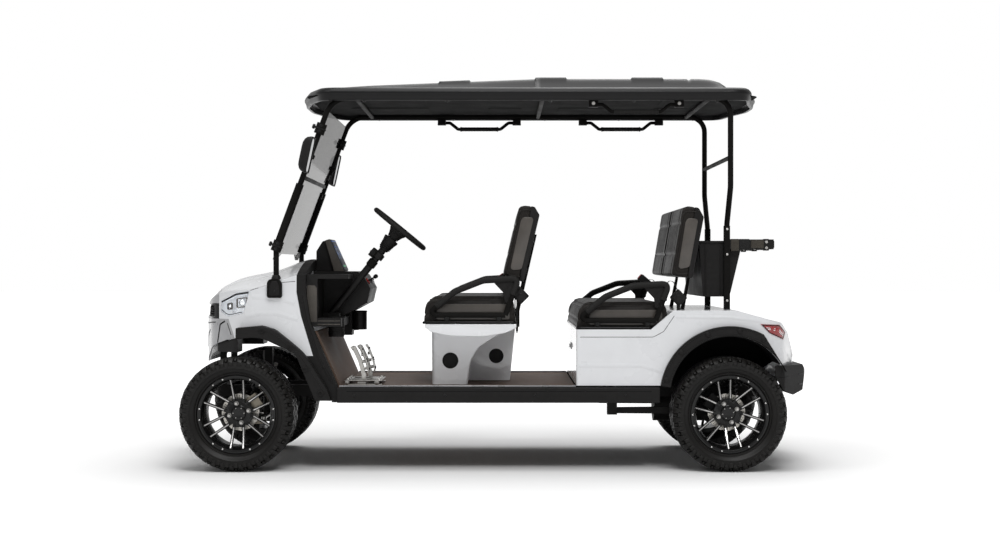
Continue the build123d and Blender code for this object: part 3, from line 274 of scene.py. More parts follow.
def painted(name, tint, dusty=0.12):
    """Glossy body paint under a clear coat, faintly uneven and a touch dusty where it lies flat."""
    skin = Surface(name)
    peel = skin.effect("Moulded Grain", scale=240.0, patch_scale=3.0)
    lying = skin.effect("Dust", scale=5.0, amount=dusty)["Mask"]
    worn = skin.effect("Edge Wear", start=0.55, break_up=20.0)["Mask"]
    base = skin.mix(peel["Patches"], rgba(tint, 0.985), rgba(tint, 1.01))
    base = skin.mix(skin.times(worn, 0.25), base, rgba(tint, 0.9))
    base = skin.mix(skin.times(lying, 0.25), base, rgba([c * 0.93 for c in tint]))
    skin.bump(peel["Height"], 0.00003, 0.35)
    return skin.feed(Base_Color=base, Roughness=skin.spread(peel["Patches"], 0.0, 1.0, 0.24, 0.32),
                     Coat_Weight=0.8, Coat_Roughness=0.05)


def upholstered(name, tint):
    """Seat vinyl: creased cells, lighter ridges and worn edges."""
    skin = Surface(name)
    hide = skin.effect("Hide Grain", scale=300.0, patch_scale=8.0)
    worn = skin.effect("Edge Wear", start=0.52, break_up=25.0)["Mask"]
    lying = skin.effect("Dust", scale=7.0, amount=0.3)["Mask"]
    base = skin.mix(hide["Patches"], rgba(tint, 0.72), rgba(tint, 1.15))
    base = skin.mix(skin.times(hide["Height"], 0.35), base, rgba([c * 1.3 + 0.006 for c in tint]))
    base = skin.mix(skin.times(worn, 0.4), base, rgba([c * 1.5 + 0.02 for c in tint]))
    uneven = skin.spread(hide["Patches"], 0.0, 1.0, 0.36, 0.47)
    skin.bump(hide["Height"], 0.00035, 0.7)
    return skin.feed(Base_Color=base, Roughness=skin.plus(uneven, skin.times(lying, 0.12)),
                     Specular_IOR_Level=0.12)


def metal(name, tint, rough, lines=700.0, wear=0.2):
    """Cut, brushed or cast metal with fine lines."""
    skin = Surface(name)
    cut = skin.effect("Turned Lines", scale=lines)
    lying = skin.effect("Dust", scale=14.0, amount=0.35)["Mask"]
    base = skin.mix(cut["Patches"], rgba(tint, 0.86), rgba(tint, 1.05))
    base = skin.mix(skin.times(lying, wear), base, rgba(tint, 0.55))
    skin.bump(cut["Height"], 0.00006, 0.6)
    return skin.feed(Base_Color=base, Metallic=1.0,
                     Roughness=skin.spread(cut["Height"], 0.3, 0.7, rough * 0.75, rough * 1.25))


def clear(name, tint, rough=0.03, ior=1.45, body=0.0, coat=0.0):
    """Clear or tinted glass or lens plastic, with a faint haze of dust; body is its share of plain colour."""
    skin = Surface(name)
    haze = skin.effect("Dust", scale=6.0, amount=0.5)["Mask"]
    patches = skin.effect("Moulded Grain", scale=160.0, patch_scale=4.0)["Patches"]
    return skin.feed(Base_Color=skin.mix(patches, rgba(tint, 0.97), rgba(tint)), IOR=ior, Coat_Weight=coat,
                     Roughness=skin.spread(haze, 0.0, 1.0, rough, rough + 0.08),
                     Transmission_Weight=1.0 - body)


def silvered(name, tint):
    """Silvered glass."""
    skin = Surface(name)
    haze = skin.effect("Moulded Grain", scale=120.0, patch_scale=14.0)["Patches"]
    return skin.feed(Base_Color=skin.mix(haze, rgba(tint, 0.92), rgba(tint)), Metallic=1.0,
                     Roughness=skin.spread(haze, 0.0, 1.0, 0.02, 0.06))


def lit(name, tint, strength=0.6, rough=0.25):
    """Plastic that glows a little of its own, for lamps and screen graphics."""
    skin = Surface(name)
    patches = skin.effect("Moulded Grain", scale=500.0, patch_scale=30.0)["Patches"]
    glow = skin.mix(patches, rgba(tint, 0.9), rgba(tint, 1.05))
    return skin.feed(Base_Color=glow, Emission_Color=glow, Emission_Strength=strength, Roughness=rough,
                     Specular_IOR_Level=0.05)


def ribbed_mat(name, tint):
    """Rubber mat with fine ribs along the cart."""
    skin = Surface(name)
    across = skin.add("SeparateXYZ", {0: skin.add("TexCoord").outputs["Object"]}).outputs["Y"]
    wave = skin.math("SINE", skin.times(across, 2 * pi / MAT_PITCH))
    pebble = skin.effect("Moulded Grain", scale=700.0, patch_scale=5.0)
    lying = skin.effect("Dust", scale=5.0, amount=0.7)["Mask"]
    base = skin.mix(pebble["Patches"], rgba(tint, 0.8), rgba(tint, 1.1))
    base = skin.mix(skin.times(lying, 0.3), base, rgba([c + 0.06 for c in tint]))
    skin.bump(skin.plus(skin.times(wave, 0.4), skin.times(pebble["Height"], 0.3)), 0.0009)
    return skin.feed(Base_Color=base, Roughness=skin.spread(pebble["Patches"], 0.0, 1.0, 0.5, 0.64),
                     Specular_IOR_Level=0.12)


def webbing(name, tint):
    """Twill of a seat belt."""
    skin = Surface(name)
    part = skin.add("SeparateXYZ", {0: skin.add("TexCoord").outputs["Object"]}).outputs
    twill = skin.math("SINE", skin.times(skin.plus(part["Z"], part["Y"]), 2 * pi / TWILL_PITCH))
    patches = skin.effect("Moulded Grain", scale=1200.0, patch_scale=12.0)["Patches"]
    skin.bump(twill, 0.0004)
    return skin.feed(Base_Color=skin.mix(patches, rgba(tint, 0.7), rgba(tint, 1.3)), Specular_IOR_Level=0.2,
                     Roughness=skin.spread(patches, 0.0, 1.0, 0.6, 0.75))


MAT_PITCH = 0.012               # from rib to rib of the floor mat
TWILL_PITCH = 0.003             # from line to line of the belts' twill
PAINTED_SHADOW_HALF = (1.25, 0.35)      # the floor under the cart gets no glow and is left to the lamps: a painted shadow of this half size


def studio(name, tint):
    """Pale floor: white to the camera and in reflections, with the object's shadow kept."""
    skin = Surface(name)
    ray = skin.add("LightPath").outputs
    through = skin.math("MAXIMUM", ray["Is Glossy Ray"], ray["Is Transmission Ray"])
    seen = skin.math("MAXIMUM", ray["Is Camera Ray"], through)
    patches = skin.effect("Moulded Grain", scale=4.0, patch_scale=0.4)["Patches"]
    place = skin.add("SeparateXYZ", {0: skin.add("NewGeometry").outputs["Position"]}).outputs
    beyond = [skin.math("MAXIMUM", skin.math("SUBTRACT", skin.math("ABSOLUTE", place[axis]), half), 0.0)
              for axis, half in zip("XY", PAINTED_SHADOW_HALF)]
    away = skin.math("SQRT", skin.plus(*[skin.math("POWER", b, 2.0) for b in beyond]))
    # no glow over the cart's footprint, rising away from it: a painted shadow under the cart
    glow = skin.plus(skin.spread(away, 0.15, 1.3, 0.0, 0.2), skin.spread(away, 1.3, 8.0, 0.0, 0.8))
    return skin.feed(Base_Color=skin.mix(patches, rgba(tint, 0.995), rgba(tint, 1.005)), Roughness=0.8,
                     Emission_Color=(1, 1, 1, 1), Emission_Strength=skin.times(seen, glow),
                     Specular_IOR_Level=0.02)


FINISHES = {  # name: (recipe, colour of the scene or own colour, settings)
    "White Paint": (painted, "paint", {"dusty": 0.05}),
    # its own pale grey-white, set lighter than the body paint to lift the shade under the seat pan: partly
    # painted light
    "Seat Base Plastic": (painted, (0.86, 0.87, 0.89), {"dusty": 0.2}),
    "Black Plastic": (grained, "plastic", {"rough": 0.50, "depth": 0.00015}),
    "Soft Plastic": (grained, "plastic", {"rough": 0.62, "grain": 1300, "depth": 0.0001, "wear": 0.2}),
    "Grey Plastic": (grained, (0.088, 0.080, 0.071), {"rough": 0.52, "grain": 1000, "depth": 0.0001}),
    "Liner Plastic": (grained, (0.006, 0.006, 0.006),
                      {"rough": 0.85, "grain": 700, "dusty": 0.0, "specular": 0.04}),
    "Gloss Black": (grained, "gloss", {"rough": 0.16, "grain": 260, "depth": 0.00002, "wear": 0.15,
                                       "dusty": 0.1, "coat": 0.08, "gloss_span": 0.05, "specular": 0.1}),
    "Roof Gloss": (grained, "gloss", {"rough": 0.36, "grain": 220, "depth": 0.00003, "wear": 0.1,
                                      "dusty": 0.15, "coat": 0.04, "gloss_span": 0.08, "specular": 0.18}),
    "Coated Steel": (grained, "steel", {"rough": 0.6, "grain": 1500, "depth": 0.00006, "wear": 0.45,
                                        "dusty": 0.0, "specular": 0.05}),
    "Warm Steel": (grained, (0.050, 0.044, 0.036),
                   {"rough": 0.5, "grain": 1400, "depth": 0.00006, "wear": 0.3}),
    "Chassis Steel": (grained, "steel", {"rough": 0.55, "depth": 0.0001, "wear": 0.3, "dusty": 0.4}),
    "Seat Vinyl": (upholstered, "vinyl", {}),
    # seat side panels: their own brown-black made lighter than the vinyl, partly a painted sheen
    "Seat Side": (grained, (0.072, 0.063, 0.055), {"rough": 0.34, "grain": 500, "depth": 0.0001, "wear": 0.1,
                                                  "dusty": 0.1, "specular": 0.5}),
    "Seat Shell": (grained, "plastic", {"rough": 0.38, "grain": 800, "depth": 0.00012, "wear": 0.3}),
    "Stitching": (grained, (0.03, 0.027, 0.024), {"rough": 0.75, "grain": 2500, "wear": 0.0, "dusty": 0.1}),
    "Grip Rubber": (grained, (0.012, 0.0115, 0.011), {"rough": 0.66, "grain": 1600, "wear": 0.1}),
    "Tyre Rubber": (grained, "rubber", {"rough": 0.40, "grain": 600, "depth": 0.00012, "wear": 0.7,
                                        "dusty": 0.1, "specular": 0.22}),
    "Floor Mat": (ribbed_mat, "mat", {}),
    "Machined Alloy": (metal, "machined", {"rough": 0.24}),
    "Brake Disc": (metal, (0.50, 0.48, 0.44), {"rough": 0.32, "lines": 1400, "wear": 0.5}),
    "Cast Caliper": (metal, (0.30, 0.27, 0.22), {"rough": 0.45, "lines": 300, "wear": 0.6}),
    "Zinc Bolt": (metal, (0.55, 0.54, 0.52), {"rough": 0.34, "lines": 2000, "wear": 0.4}),
    "Black Bolt": (grained, (0.02, 0.02, 0.02),
                   {"rough": 0.3, "grain": 2000, "depth": 0.00004, "metal": 0.6}),
    "Chrome Trim": (metal, (0.80, 0.80, 0.81), {"rough": 0.08, "lines": 300, "wear": 0.1}),
    "Silver Trim": (grained, "silver", {"rough": 0.3, "grain": 500, "depth": 0.00001, "wear": 0.05,
                                        "dusty": 0.05, "coat": 0.4, "metal": 0.5, "specular": 0.5}),
    "Pedal Alloy": (metal, (0.42, 0.41, 0.39), {"rough": 0.34, "lines": 900}),
    "Alloy Black": (grained, (0.006, 0.006, 0.006),
                    {"rough": 0.24, "grain": 500, "depth": 0.00004, "wear": 0.2, "coat": 0.2}),
    "Tinted Glass": (clear, (0.17, 0.168, 0.166), {"ior": 1.06}),
    "Lens Clear": (clear, (0.95, 0.965, 0.98), {"ior": 1.2}),
    "Lens Red": (clear, "lamp_red", {"ior": 1.4, "body": 0.55, "coat": 0.8}),
    "Mirror Glass": (silvered, (0.88, 0.89, 0.90), {}),
    "Lamp White": (lit, (0.85, 0.88, 0.92), {"strength": 0.35}),
    "Screen Dark": (lit, (0.006, 0.009, 0.022), {"strength": 0.3, "rough": 0.4}),
    "Screen Blue": (lit, (0.03, 0.10, 0.34), {"strength": 0.4}),
    "Screen White": (lit, (0.30, 0.36, 0.46), {"strength": 0.3}),
    "Screen Green": (lit, (0.05, 0.30, 0.14), {"strength": 0.3}),
    # glow of the headlamp housings: a painted reflection of their chrome
    "Lamp Silver": (lit, (0.84, 0.85, 0.87), {"strength": 0.3, "rough": 0.3}),
    "Red Plastic": (grained, (0.42, 0.018, 0.014),
                    {"rough": 0.35, "depth": 0.00005, "dusty": 0.15, "coat": 0.3}),
    "Webbing": (webbing, (0.015, 0.015, 0.015), {}),
    "Studio Floor": (studio, "floor", {}),
}


def finish(name):
    """The material of that name, made on first use from the scene's colours."""
    found = bpy.data.materials.get(name)
    if found:
        return found
    recipe, tint, settings = FINISHES[name]
    if isinstance(tint, str):
        tint = getattr(bpy.context.scene.cart_colours, tint)
    return recipe(name, tint, **settings)


# ------------------------------------------------------------------ mesh helpers
class Solid:
    """Collects the shapes of one piece in a bmesh."""

    def __init__(self):
        self.bm = bmesh.new()

    def take(self, verts, faces, bevel=0.0, steps=2, turn=None, about=ORIGIN, limit=30.0):
        """Adds a closed shape; its edges steeper than limit degrees are rounded by bevel."""
        bm = bmesh.new()
        made = [bm.verts.new(v) for v in verts]
        for face in faces:
            bm.faces.new([made[i] for i in face])
        bmesh.ops.recalc_face_normals(bm, faces=bm.faces)
        if bevel:
            sharp = [e for e in bm.edges
                     if len(e.link_faces) == 2 and degrees(e.calc_face_angle(0)) > limit]
            bmesh.ops.bevel(bm, geom=sharp, offset=bevel, segments=steps, profile=0.5, affect="EDGES",
                            clamp_overlap=True)
        if turn is not None:
            there, back = Matrix.Translation(about), Matrix.Translation(-Vector(about))
            bmesh.ops.transform(bm, matrix=there @ turn @ back, verts=bm.verts)
        self.merge(bm)
        return self

    def loft(self, rows, closed=False, **more):
        """Closed form through rows of equal count, joined end to end or capped; more goes to take."""
        n = len(rows[0])
        ends = list(range(len(rows)))
        verts = [tuple(p) for row in rows for p in row]
        faces = [] if closed else [tuple(range(n)), tuple(range(len(verts) - n, len(verts)))[::-1]]
        for i, j in zip(ends, ends[1:] + (ends[:1] if closed else [])):
            faces += [(i * n + k, i * n + (k + 1) % n, j * n + (k + 1) % n, j * n + k) for k in range(n)]
        return self.take(verts, faces, **more)

    def merge(self, bm):
        mesh = bpy.data.meshes.new("part")
        bm.to_mesh(mesh)
        bm.free()
        self.bm.from_mesh(mesh)
        bpy.data.meshes.remove(mesh)

    def block(self, x0, x1, y0, y1, z0, z1, bevel=0.003, steps=2, turn=None, about=None):
        x0, x1 = sorted((x0, x1))
        y0, y1 = sorted((y0, y1))
        z0, z1 = sorted((z0, z1))
        verts = [(x, y, z) for x in (x0, x1) for y in (y0, y1) for z in (z0, z1)]
        faces = [(0, 1, 3, 2), (4, 6, 7, 5), (0, 4, 5, 1), (2, 3, 7, 6), (0, 2, 6, 4), (1, 5, 7, 3)]
        centre = about or ((x0 + x1) / 2, (y0 + y1) / 2, (z0 + z1) / 2)
        return self.take(verts, faces, bevel, steps, turn, centre)

    def prism(self, points, axis, low, high, bevel=0.003, steps=2, turn=None, about=ORIGIN):
        """Outline pushed along an axis: "y" takes (x, z), "z" takes (x, y), "x" takes (y, z)."""
        place = {"y": lambda a, b, c: (a, c, b), "z": lambda a, b, c: (a, b, c),
                 "x": lambda a, b, c: (c, a, b)}[axis]
        rows = [[place(a, b, c) for a, b in points] for c in sorted((low, high))]
        return self.loft(rows, bevel=bevel, steps=steps, turn=turn, about=about, limit=25.0)

    def lathe(self, profile, centre, axis, steps=48, closed=False, phase=0.0):
        """Profile of (radius, height along axis) turned about it. A closed profile makes a ring."""
        stand = Vector(axis).normalized().to_track_quat("Z", "Y").to_matrix().to_4x4()
        stand.translation = Vector(centre)
        verts, faces, rings = [], [], []
        for radius, height in profile:
            if radius < 1e-6:
                rings.append([len(verts)])
                verts.append((0, 0, height))
            else:
                rings.append(list(range(len(verts), len(verts) + steps)))
                verts += [(radius * cos(phase + 2 * pi * k / steps),
                           radius * sin(phase + 2 * pi * k / steps), height)
                          for k in range(steps)]
        pairs = list(zip(rings, rings[1:])) + ([(rings[-1], rings[0])] if closed else [])
        for a, b in pairs:
            for k in range(steps):
                l = (k + 1) % steps
                if len(a) == 1 and len(b) == 1:
                    continue
                if len(a) == 1:
                    faces.append((a[0], b[k], b[l]))
                elif len(b) == 1:
                    faces.append((a[k], b[0], a[l]))
                else:
                    faces.append((a[k], b[k], b[l], a[l]))
        if not closed:
            if len(rings[0]) > 1:
                faces.append(tuple(rings[0][::-1]))
            if len(rings[-1]) > 1:
                faces.append(tuple(rings[-1]))
        return self.take([tuple(stand @ Vector(v)) for v in verts], faces)

    def rod(self, start, end, radius, steps=20, edge=0.0):
        start, end = Vector(start), Vector(end)
        span = (end - start).length
        edge = min(edge, radius * 0.8, span * 0.4)
        profile = [(radius, 0), (radius, span)]
        if edge:
            half = [(radius - edge, 0), (radius - edge * 0.3, edge * 0.3), (radius, edge)]
            profile = half + [(r, span - h) for r, h in half[::-1]]
        return self.lathe(profile, start, end - start, steps)

    def sweep(self, points, section, closed=False, up=None):
        """Section of (across, up) points carried along a path without twist."""
        path = [Vector(p) for p in points]
        n, rows, side = len(path), [], None
        for i, p in enumerate(path):
            before = path[i - 1] if (i or closed) else p
            after = path[(i + 1) % n] if (i < n - 1 or closed) else p
            along = (after - before).normalized()
            if up is not None:
                side = Vector(up).cross(along)
                if side.length < 1e-6:
                    side = Vector(ALONG_Y)
            elif side is None:
                side = along.orthogonal()
            side = (side - along * side.dot(along)).normalized()
            top = along.cross(side)
            stretch = 1.0
            if i and (i < n - 1 or closed):
                straight = (p - before).normalized().dot((after - p).normalized())
                stretch = 1.0 / max(0.6, sqrt(max(0.0, (1 + straight) / 2)))
            rows.append([p + side * (a * stretch) + top * b for a, b in section])
        return self.loft(rows, closed)

    def tube(self, points, radius, steps):
        return self.sweep(points, ring(radius, steps))

    def bolt(self, at, axis, radius, height, washer=True, sides=6):
        """Hexagon head on a washer, with its chamfer and the end of its thread."""
        axis = Vector(axis).normalized()
        at = Vector(at)
        if washer:
            self.lathe([(radius * 1.45, 0), (radius * 1.5, height * 0.08), (radius * 1.45, height * 0.2),
                        (0, height * 0.2)], at, axis, 20)
        base = at + axis * (height * 0.2 if washer else 0)
        self.lathe([(radius, 0), (radius, height * 0.6), (radius * 0.86, height * 0.76),
                    (0, height * 0.76)], base, axis, sides)
        self.lathe([(radius * 0.42, 0), (radius * 0.42, height * 0.92), (radius * 0.34, height),
                    (0, height)], base, axis, 12)
        return self

    def button(self, at, axis, radius, height, steps=20):
        """Domed head with a small socket."""
        r, h = radius, height
        self.lathe([(r, 0), (r, h * 0.35), (r * 0.86, h * 0.75), (r * 0.6, h * 0.96), (r * 0.36, h),
                    (r * 0.34, h * 0.5), (0, h * 0.5)], at, axis, steps)
        return self

    def moved(self, matrix):
        bmesh.ops.transform(self.bm, matrix=matrix, verts=self.bm.verts)
        return self

    def mesh(self, name, material, smooth=40.0):
        """Mesh with its finish; edges steeper than smooth degrees stay sharp."""
        mesh = bpy.data.meshes.new(name)
        self.bm.to_mesh(mesh)
        self.bm.free()
        mesh.materials.append(finish(material))
        mesh.shade_smooth()
        mesh.set_sharp_from_angle(angle=radians(smooth))
        return mesh

    def place(self, name, material, body=CHASSIS, stands_for=(), slot="black_plastic", smooth=40.0):
        """Makes the piece, gives it its finish and lets it ride on its body."""
        return instance(self.mesh(name, material, smooth), name, body, stands_for)


def solids(count):
    return [Solid() for _ in range(count)]


def linked(name, data):
    thing = bpy.data.objects.new(name, data)
    bpy.context.scene.collection.objects.link(thing)
    return thing


def instance(mesh, name, body, stands_for=(), at=Matrix.Identity(4)):
    """Piece of a mesh, which several pieces may share."""
    piece = linked(name, mesh)
    piece.matrix_world = at
    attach(piece, body)
    if stands_for:
        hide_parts(*stands_for)
    return piece


def frame_of(across, up, out, at):
    """Matrix that takes local x, y and z to three directions, standing at a point."""
    made = Matrix((across, up, out)).transposed().to_4x4()
    made.translation = at
    return made


def ring(radius, steps, high=None):
    """Points of a circle, or of an ellipse with its own height."""
    turns = [2 * pi * k / steps for k in range(steps)]
    return [(radius * cos(a), (high or radius) * sin(a)) for a in turns]


def rounded(points, bends, closed=False):
    """Path with its corners replaced by short arcs."""
    path = [Vector(p) for p in points]
    n = len(path)
    radii = list(bends) if isinstance(bends, (list, tuple)) else [bends] * (n if closed else n - 2)
    made = []
    for i, p in enumerate(path):
        if not closed and i in (0, n - 1):
            made.append(p)
            continue
        radius = radii[i if closed else i - 1]
        a, b = (path[i - 1] - p), (path[(i + 1) % n] - p)
        angle = a.angle(b)
        reach = min(radius / max(tan(angle / 2), 1e-6), a.length * 0.49, b.length * 0.49)
        if reach < 1e-5 or angle > radians(178):
            made.append(p)
            continue
        start, end = p + a.normalized() * reach, p + b.normalized() * reach
        count = max(3, ceil(degrees(pi - angle) / 9))
        for k in range(count + 1):
            t = k / count
            made.append(start * (1 - t) ** 2 + p * 2 * t * (1 - t) + end * t * t)
    return made


def rounded2(points, bends):
    """Closed flat outline of (a, b) points with rounded corners."""
    return [(p.x, p.y) for p in rounded([(a, b, 0) for a, b in points], bends, closed=True)]


SHARP = radians(32.0)       # edges of a solid that are steeper are rounded


def reshade(node, material, edge):
    """A CAD node keeps its shape, gets its finish, and its sharp edges are rounded by modifiers."""
    piece = NODE[node]
    piece.data.materials.clear()
    piece.data.materials.append(finish(material))
    if edge:
        piece.modifiers.new("Weld", "WELD").merge_threshold = WELD
        flat = piece.modifiers.new("Flat Faces", "DECIMATE")
        flat.decimate_type = "DISSOLVE"
        flat.angle_limit = radians(0.6)
        rounding = piece.modifiers.new("Rounded Edges", "BEVEL")
        rounding.limit_method = "ANGLE"
        rounding.angle_limit = SHARP
        rounding.width = edge
        rounding.segments = 3
        piece.modifiers.new("Even Normals", "WEIGHTED_NORMAL").keep_sharp = False
    return piece


# ------------------------------------------------------------------------ stage
CAMERA_AT = (0.025, -8.925, 1.022)
CAMERA_LENS = 59.98         # millimetres on a 36 mm sensor
CAMERA_SHIFT = -0.0015
FLOOR_RADIUS = 60.0
AMBIENT = 0.23              # strength of the world's light on the object
LIGHTS = [  # name, place, aim, width, depth, watts
    ("Overhead", (0.3, -0.2, 5.6), (0.0, 0.0, 1.0), 7.5, 3.4, 235.0),
    ("Key", (1.2, -6.0, 7.4), (0.0, 0.0, 0.8), 3.6, 2.0, 280.0),
    ("Fill", (-5.0, -3.5, 6.8), (0.0, 0.0, 0.9), 2.4, 2.0, 55.0),
    ("Rear", (1.0, 3.8, 6.8), (0.0, 0.0, 1.0), 5.0, 2.0, 105.0)]


def area_light(name, at, towards, wide, deep, power):
    data = bpy.data.lights.new(name, "AREA")
    data.shape, data.size, data.size_y, data.energy = "RECTANGLE", wide, deep, power
    lamp = linked(name, data)
    lamp.location = at
    lamp.rotation_euler = (Vector(towards) - Vector(at)).to_track_quat("-Z", "Y").to_euler()


def make_stage():
    """Camera, lights, world and floor."""
    scene = bpy.context.scene
    data = bpy.data.cameras.new("Camera")
    data.lens, data.sensor_width, data.shift_y = CAMERA_LENS, 36.0, CAMERA_SHIFT
    data.clip_end = 200.0
    camera = linked("Camera", data)
    camera.location, camera.rotation_euler = CAMERA_AT, (pi / 2, 0, 0)
    scene.camera = camera
    scene.view_settings.view_transform = "Standard"

    floor = bmesh.new()
    bmesh.ops.create_circle(floor, cap_ends=True, segments=64, radius=FLOOR_RADIUS)
    mesh = bpy.data.meshes.new("Studio Floor")
    floor.to_mesh(mesh)
    floor.free()
    mesh.materials.append(finish("Studio Floor"))
    linked("Studio_Floor", mesh)

    world = bpy.data.worlds.new("Studio")
    scene.world = world
    world.use_nodes = True
    graph = Graph(world.node_tree)
    ray = graph.add("LightPath").outputs
    background = world.node_tree.nodes["Background"]
    background.inputs["Color"].default_value = (1, 1, 1, 1)
    seen = graph.math("MAXIMUM", ray["Is Camera Ray"], ray["Is Transmission Ray"])
    seen = graph.math("MAXIMUM", seen, graph.times(ray["Is Glossy Ray"], 0.5))
    graph.put(background.inputs["Strength"], graph.spread(seen, 0.0, 1.0, AMBIENT, 1.0))
    for light in LIGHTS:
        area_light(*light)


# ----------------------------------------------------------------------- wheels
AXLES = {"front": (-1.291, 30.0), "rear": (1.173, 39.0)}    # x, angle of the first spoke
WHEEL_Y = 0.520
TYRE_R = 0.286              # also the height of the axles
HUB_FACE = -0.008           # of the wheel's own Y, whose outer side is negative
SPOKES = 6
FAR_TURN = 0.27             # how far the far half of the tread is turned, as a share of the pitch
CASING = [  # (radius, distance from the tyre's middle) of half the casing, bead to crown
    (0.1783, 0.0600), (0.1783, 0.0866), (0.1890, 0.0867), (0.1963, 0.0868), (0.1980, 0.0930),
    (0.2005, 0.0985), (0.2030, 0.0995), (0.2055, 0.1000), (0.2062, 0.1035), (0.2100, 0.1085),
    (0.2160, 0.1135), (0.2230, 0.1180), (0.2300, 0.1214), (0.2308, 0.1228), (0.2325, 0.1230),
    (0.2333, 0.1222), (0.2400, 0.1236), (0.2470, 0.1236), (0.2530, 0.1220), (0.2538, 0.1226),
    (0.2552, 0.1220), (0.2560, 0.1206), (0.2610, 0.1168), (0.2660, 0.1105), (0.2705, 0.1010),
    (0.2738, 0.0880), (0.2749, 0.0600), (0.2752, 0.0200)]
TREAD_CROWN = [(0.0, 0.2860), (0.0925, 0.2858), (0.1075, 0.2812), (0.1180, 0.2700), (0.1225, 0.2600),
               (0.1248, 0.2500)]
SIDE_LUGS = [  # share of the pitch, start and end along the tread, outer and inner radius
    (0.03, -0.010, 0.010, 0.2635, 0.2405), (0.53, -0.009, 0.008, 0.2610, 0.2480)]
LUGS = [  # share of the pitch, corners as (along the tread, across it), of one half of the tread
    (0.00, [(-0.009, 0.004), (0.013, 0.004), (0.016, 0.016), (0.008, 0.024), (-0.012, 0.026),
            (-0.015, 0.014)]),
    (0.50, [(-0.012, 0.031), (0.011, 0.028), (0.017, 0.040), (0.010, 0.055), (-0.010, 0.057),
            (-0.016, 0.044)]),
    (0.10, [(-0.014, 0.062), (0.009, 0.060), (0.016, 0.072), (0.014, 0.084), (-0.012, 0.086),
            (-0.017, 0.074)]),
    (0.55, [(-0.012, 0.090), (0.012, 0.088), (0.016, 0.104), (0.013, 0.1215), (-0.008, 0.1235),
            (-0.016, 0.106)]),
    (0.05, [(-0.006, 0.100), (0.004, 0.100), (0.005, 0.1175), (-0.005, 0.1185)])]


def lookup(table, x):
    for (a, u), (b, v) in zip(table, table[1:]):
        if x <= b:
            return u + (v - u) * (x - a) / (b - a)
    return table[-1][1]


def lug(tread, corners, angle, depth, hand):
    """One tread block, its top edge rounded and following the crown of the tyre."""
    centre_s = sum(s for s, y in corners) / len(corners)
    centre_y = sum(y for s, y in corners) / len(corners)
    rings = []
    for level, inset in ((-0.002, -0.0010), (depth * 0.80, 0.0), (depth * 0.95, 0.0006), (depth, 0.0016)):
        row = []
        for s, y in corners:
            s = centre_s + (s - centre_s) * (1 - inset / 0.012)
            y = centre_y + (y - centre_y) * (1 - inset / 0.012)
            crown = lookup(TREAD_CROWN, y)
            lean = min(1.0, max(0.0, (y - 0.098) / 0.022))
            r = crown - (depth - level) * (1 - lean * 0.65)
            out = y - (depth - level) * lean * 0.55
            a = angle + s / TYRE_R
            row.append((r * cos(a), hand * out, r * sin(a)))
        rings.append(row)
    tread.loft(rings)


def tyre_shape(sizes):
    """Casing with its tread, the blocks that reach down its sidewalls and short ribs round its bead."""
    tyre = Solid()
    half = CASING + [(0.2752, 0.0)]
    profile = [(r, -y) for r, y in half] + [(r, y) for r, y in CASING[::-1]]
    tyre.lathe(profile, ORIGIN, ALONG_Y, 120, closed=True)
    count = sizes.lug_count
    for k in range(count):
        for hand in SIDES:
            at = k + (FAR_TURN if hand > 0 else 0.0)
            for share, corners in LUGS:
                lug(tyre, corners, 2 * pi * (at + share) / count, sizes.lug_depth, hand)
            for share, start, end, outer, inner in SIDE_LUGS:
                angle = 2 * pi * (at + share) / count
                rows = []
                for y, slim in ((0.1195, 0.0), (0.1256, 0.0), (0.1268, 0.0018)):
                    corners = ((outer, start + slim), (outer, end - slim), (inner + slim, end * 0.6 - slim),
                               (inner + slim, start * 0.6 + slim))
                    rows.append([(r * cos(angle + s / r), hand * (y - (TYRE_R - r) * 0.012),
                                  r * sin(angle + s / r)) for r, s in corners])
                tyre.loft(rows)
    for hand in SIDES:
        for k in range(60):
            turn = Matrix.Rotation(2 * pi * k / 60, 4, "Y")
            y = hand * 0.1062
            tyre.block(0.2085, 0.2125, y - 0.0012, y + 0.0012, -0.0011, 0.0011, 0.0004, 1, turn, ORIGIN)
    return tyre


RIM_RING = [  # (radius, y) of the barrel, outer lip first
    (0.1925, -0.0935), (0.1950, -0.0926), (0.1960, -0.0905), (0.1958, -0.0880), (0.1935, -0.0872),
    (0.1795, -0.0868), (0.1780, -0.0850), (0.1780, -0.0600), (0.1700, -0.0450), (0.1700, 0.0400),
    (0.1780, 0.0600), (0.1780, 0.0850), (0.1795, 0.0868), (0.1940, 0.0872), (0.1958, 0.0890),
    (0.1960, 0.0930), (0.1945, 0.0950), (0.1740, 0.0950), (0.1690, 0.0900), (0.1655, 0.0400),
    (0.1635, -0.0380), (0.1655, -0.0560), (0.1705, -0.0700), (0.1755, -0.0790), (0.1775, -0.0860),
    (0.1790, -0.0895), (0.1830, -0.0915)]


def spoke_y(r):
    """Front face of a spoke: near the hub's face inside, near the lip outside."""
    t = max(0.0, min(1.0, (r - 0.055) / 0.118))
    return HUB_FACE - 0.070 * t ** 1.35


RIB_STEPS = 9


def rib(shape, angle, hand, width, r0, r1, lift, thick):
    """One rib of a double spoke as a bar that follows the dish of the wheel."""
    rows = []
    turn = Matrix.Rotation(-angle, 3, "Y")
    for k in range(RIB_STEPS + 1):
        r = r0 + (r1 - r0) * k / RIB_STEPS
        across = hand * (0.0235 + (r - 0.062) * 0.075)
        y = spoke_y(r) - lift
        deep = thick if lift else thick + 0.008 * (1 - k / RIB_STEPS)
        section = ((-1, 0.0016), (-0.82, 0.0), (0.82, 0.0), (1, 0.0016), (0.9, deep), (-0.9, deep))
        rows.append([turn @ Vector((r, y + d, across + w * width / 2)) for w, d in section])
    shape.loft(rows)


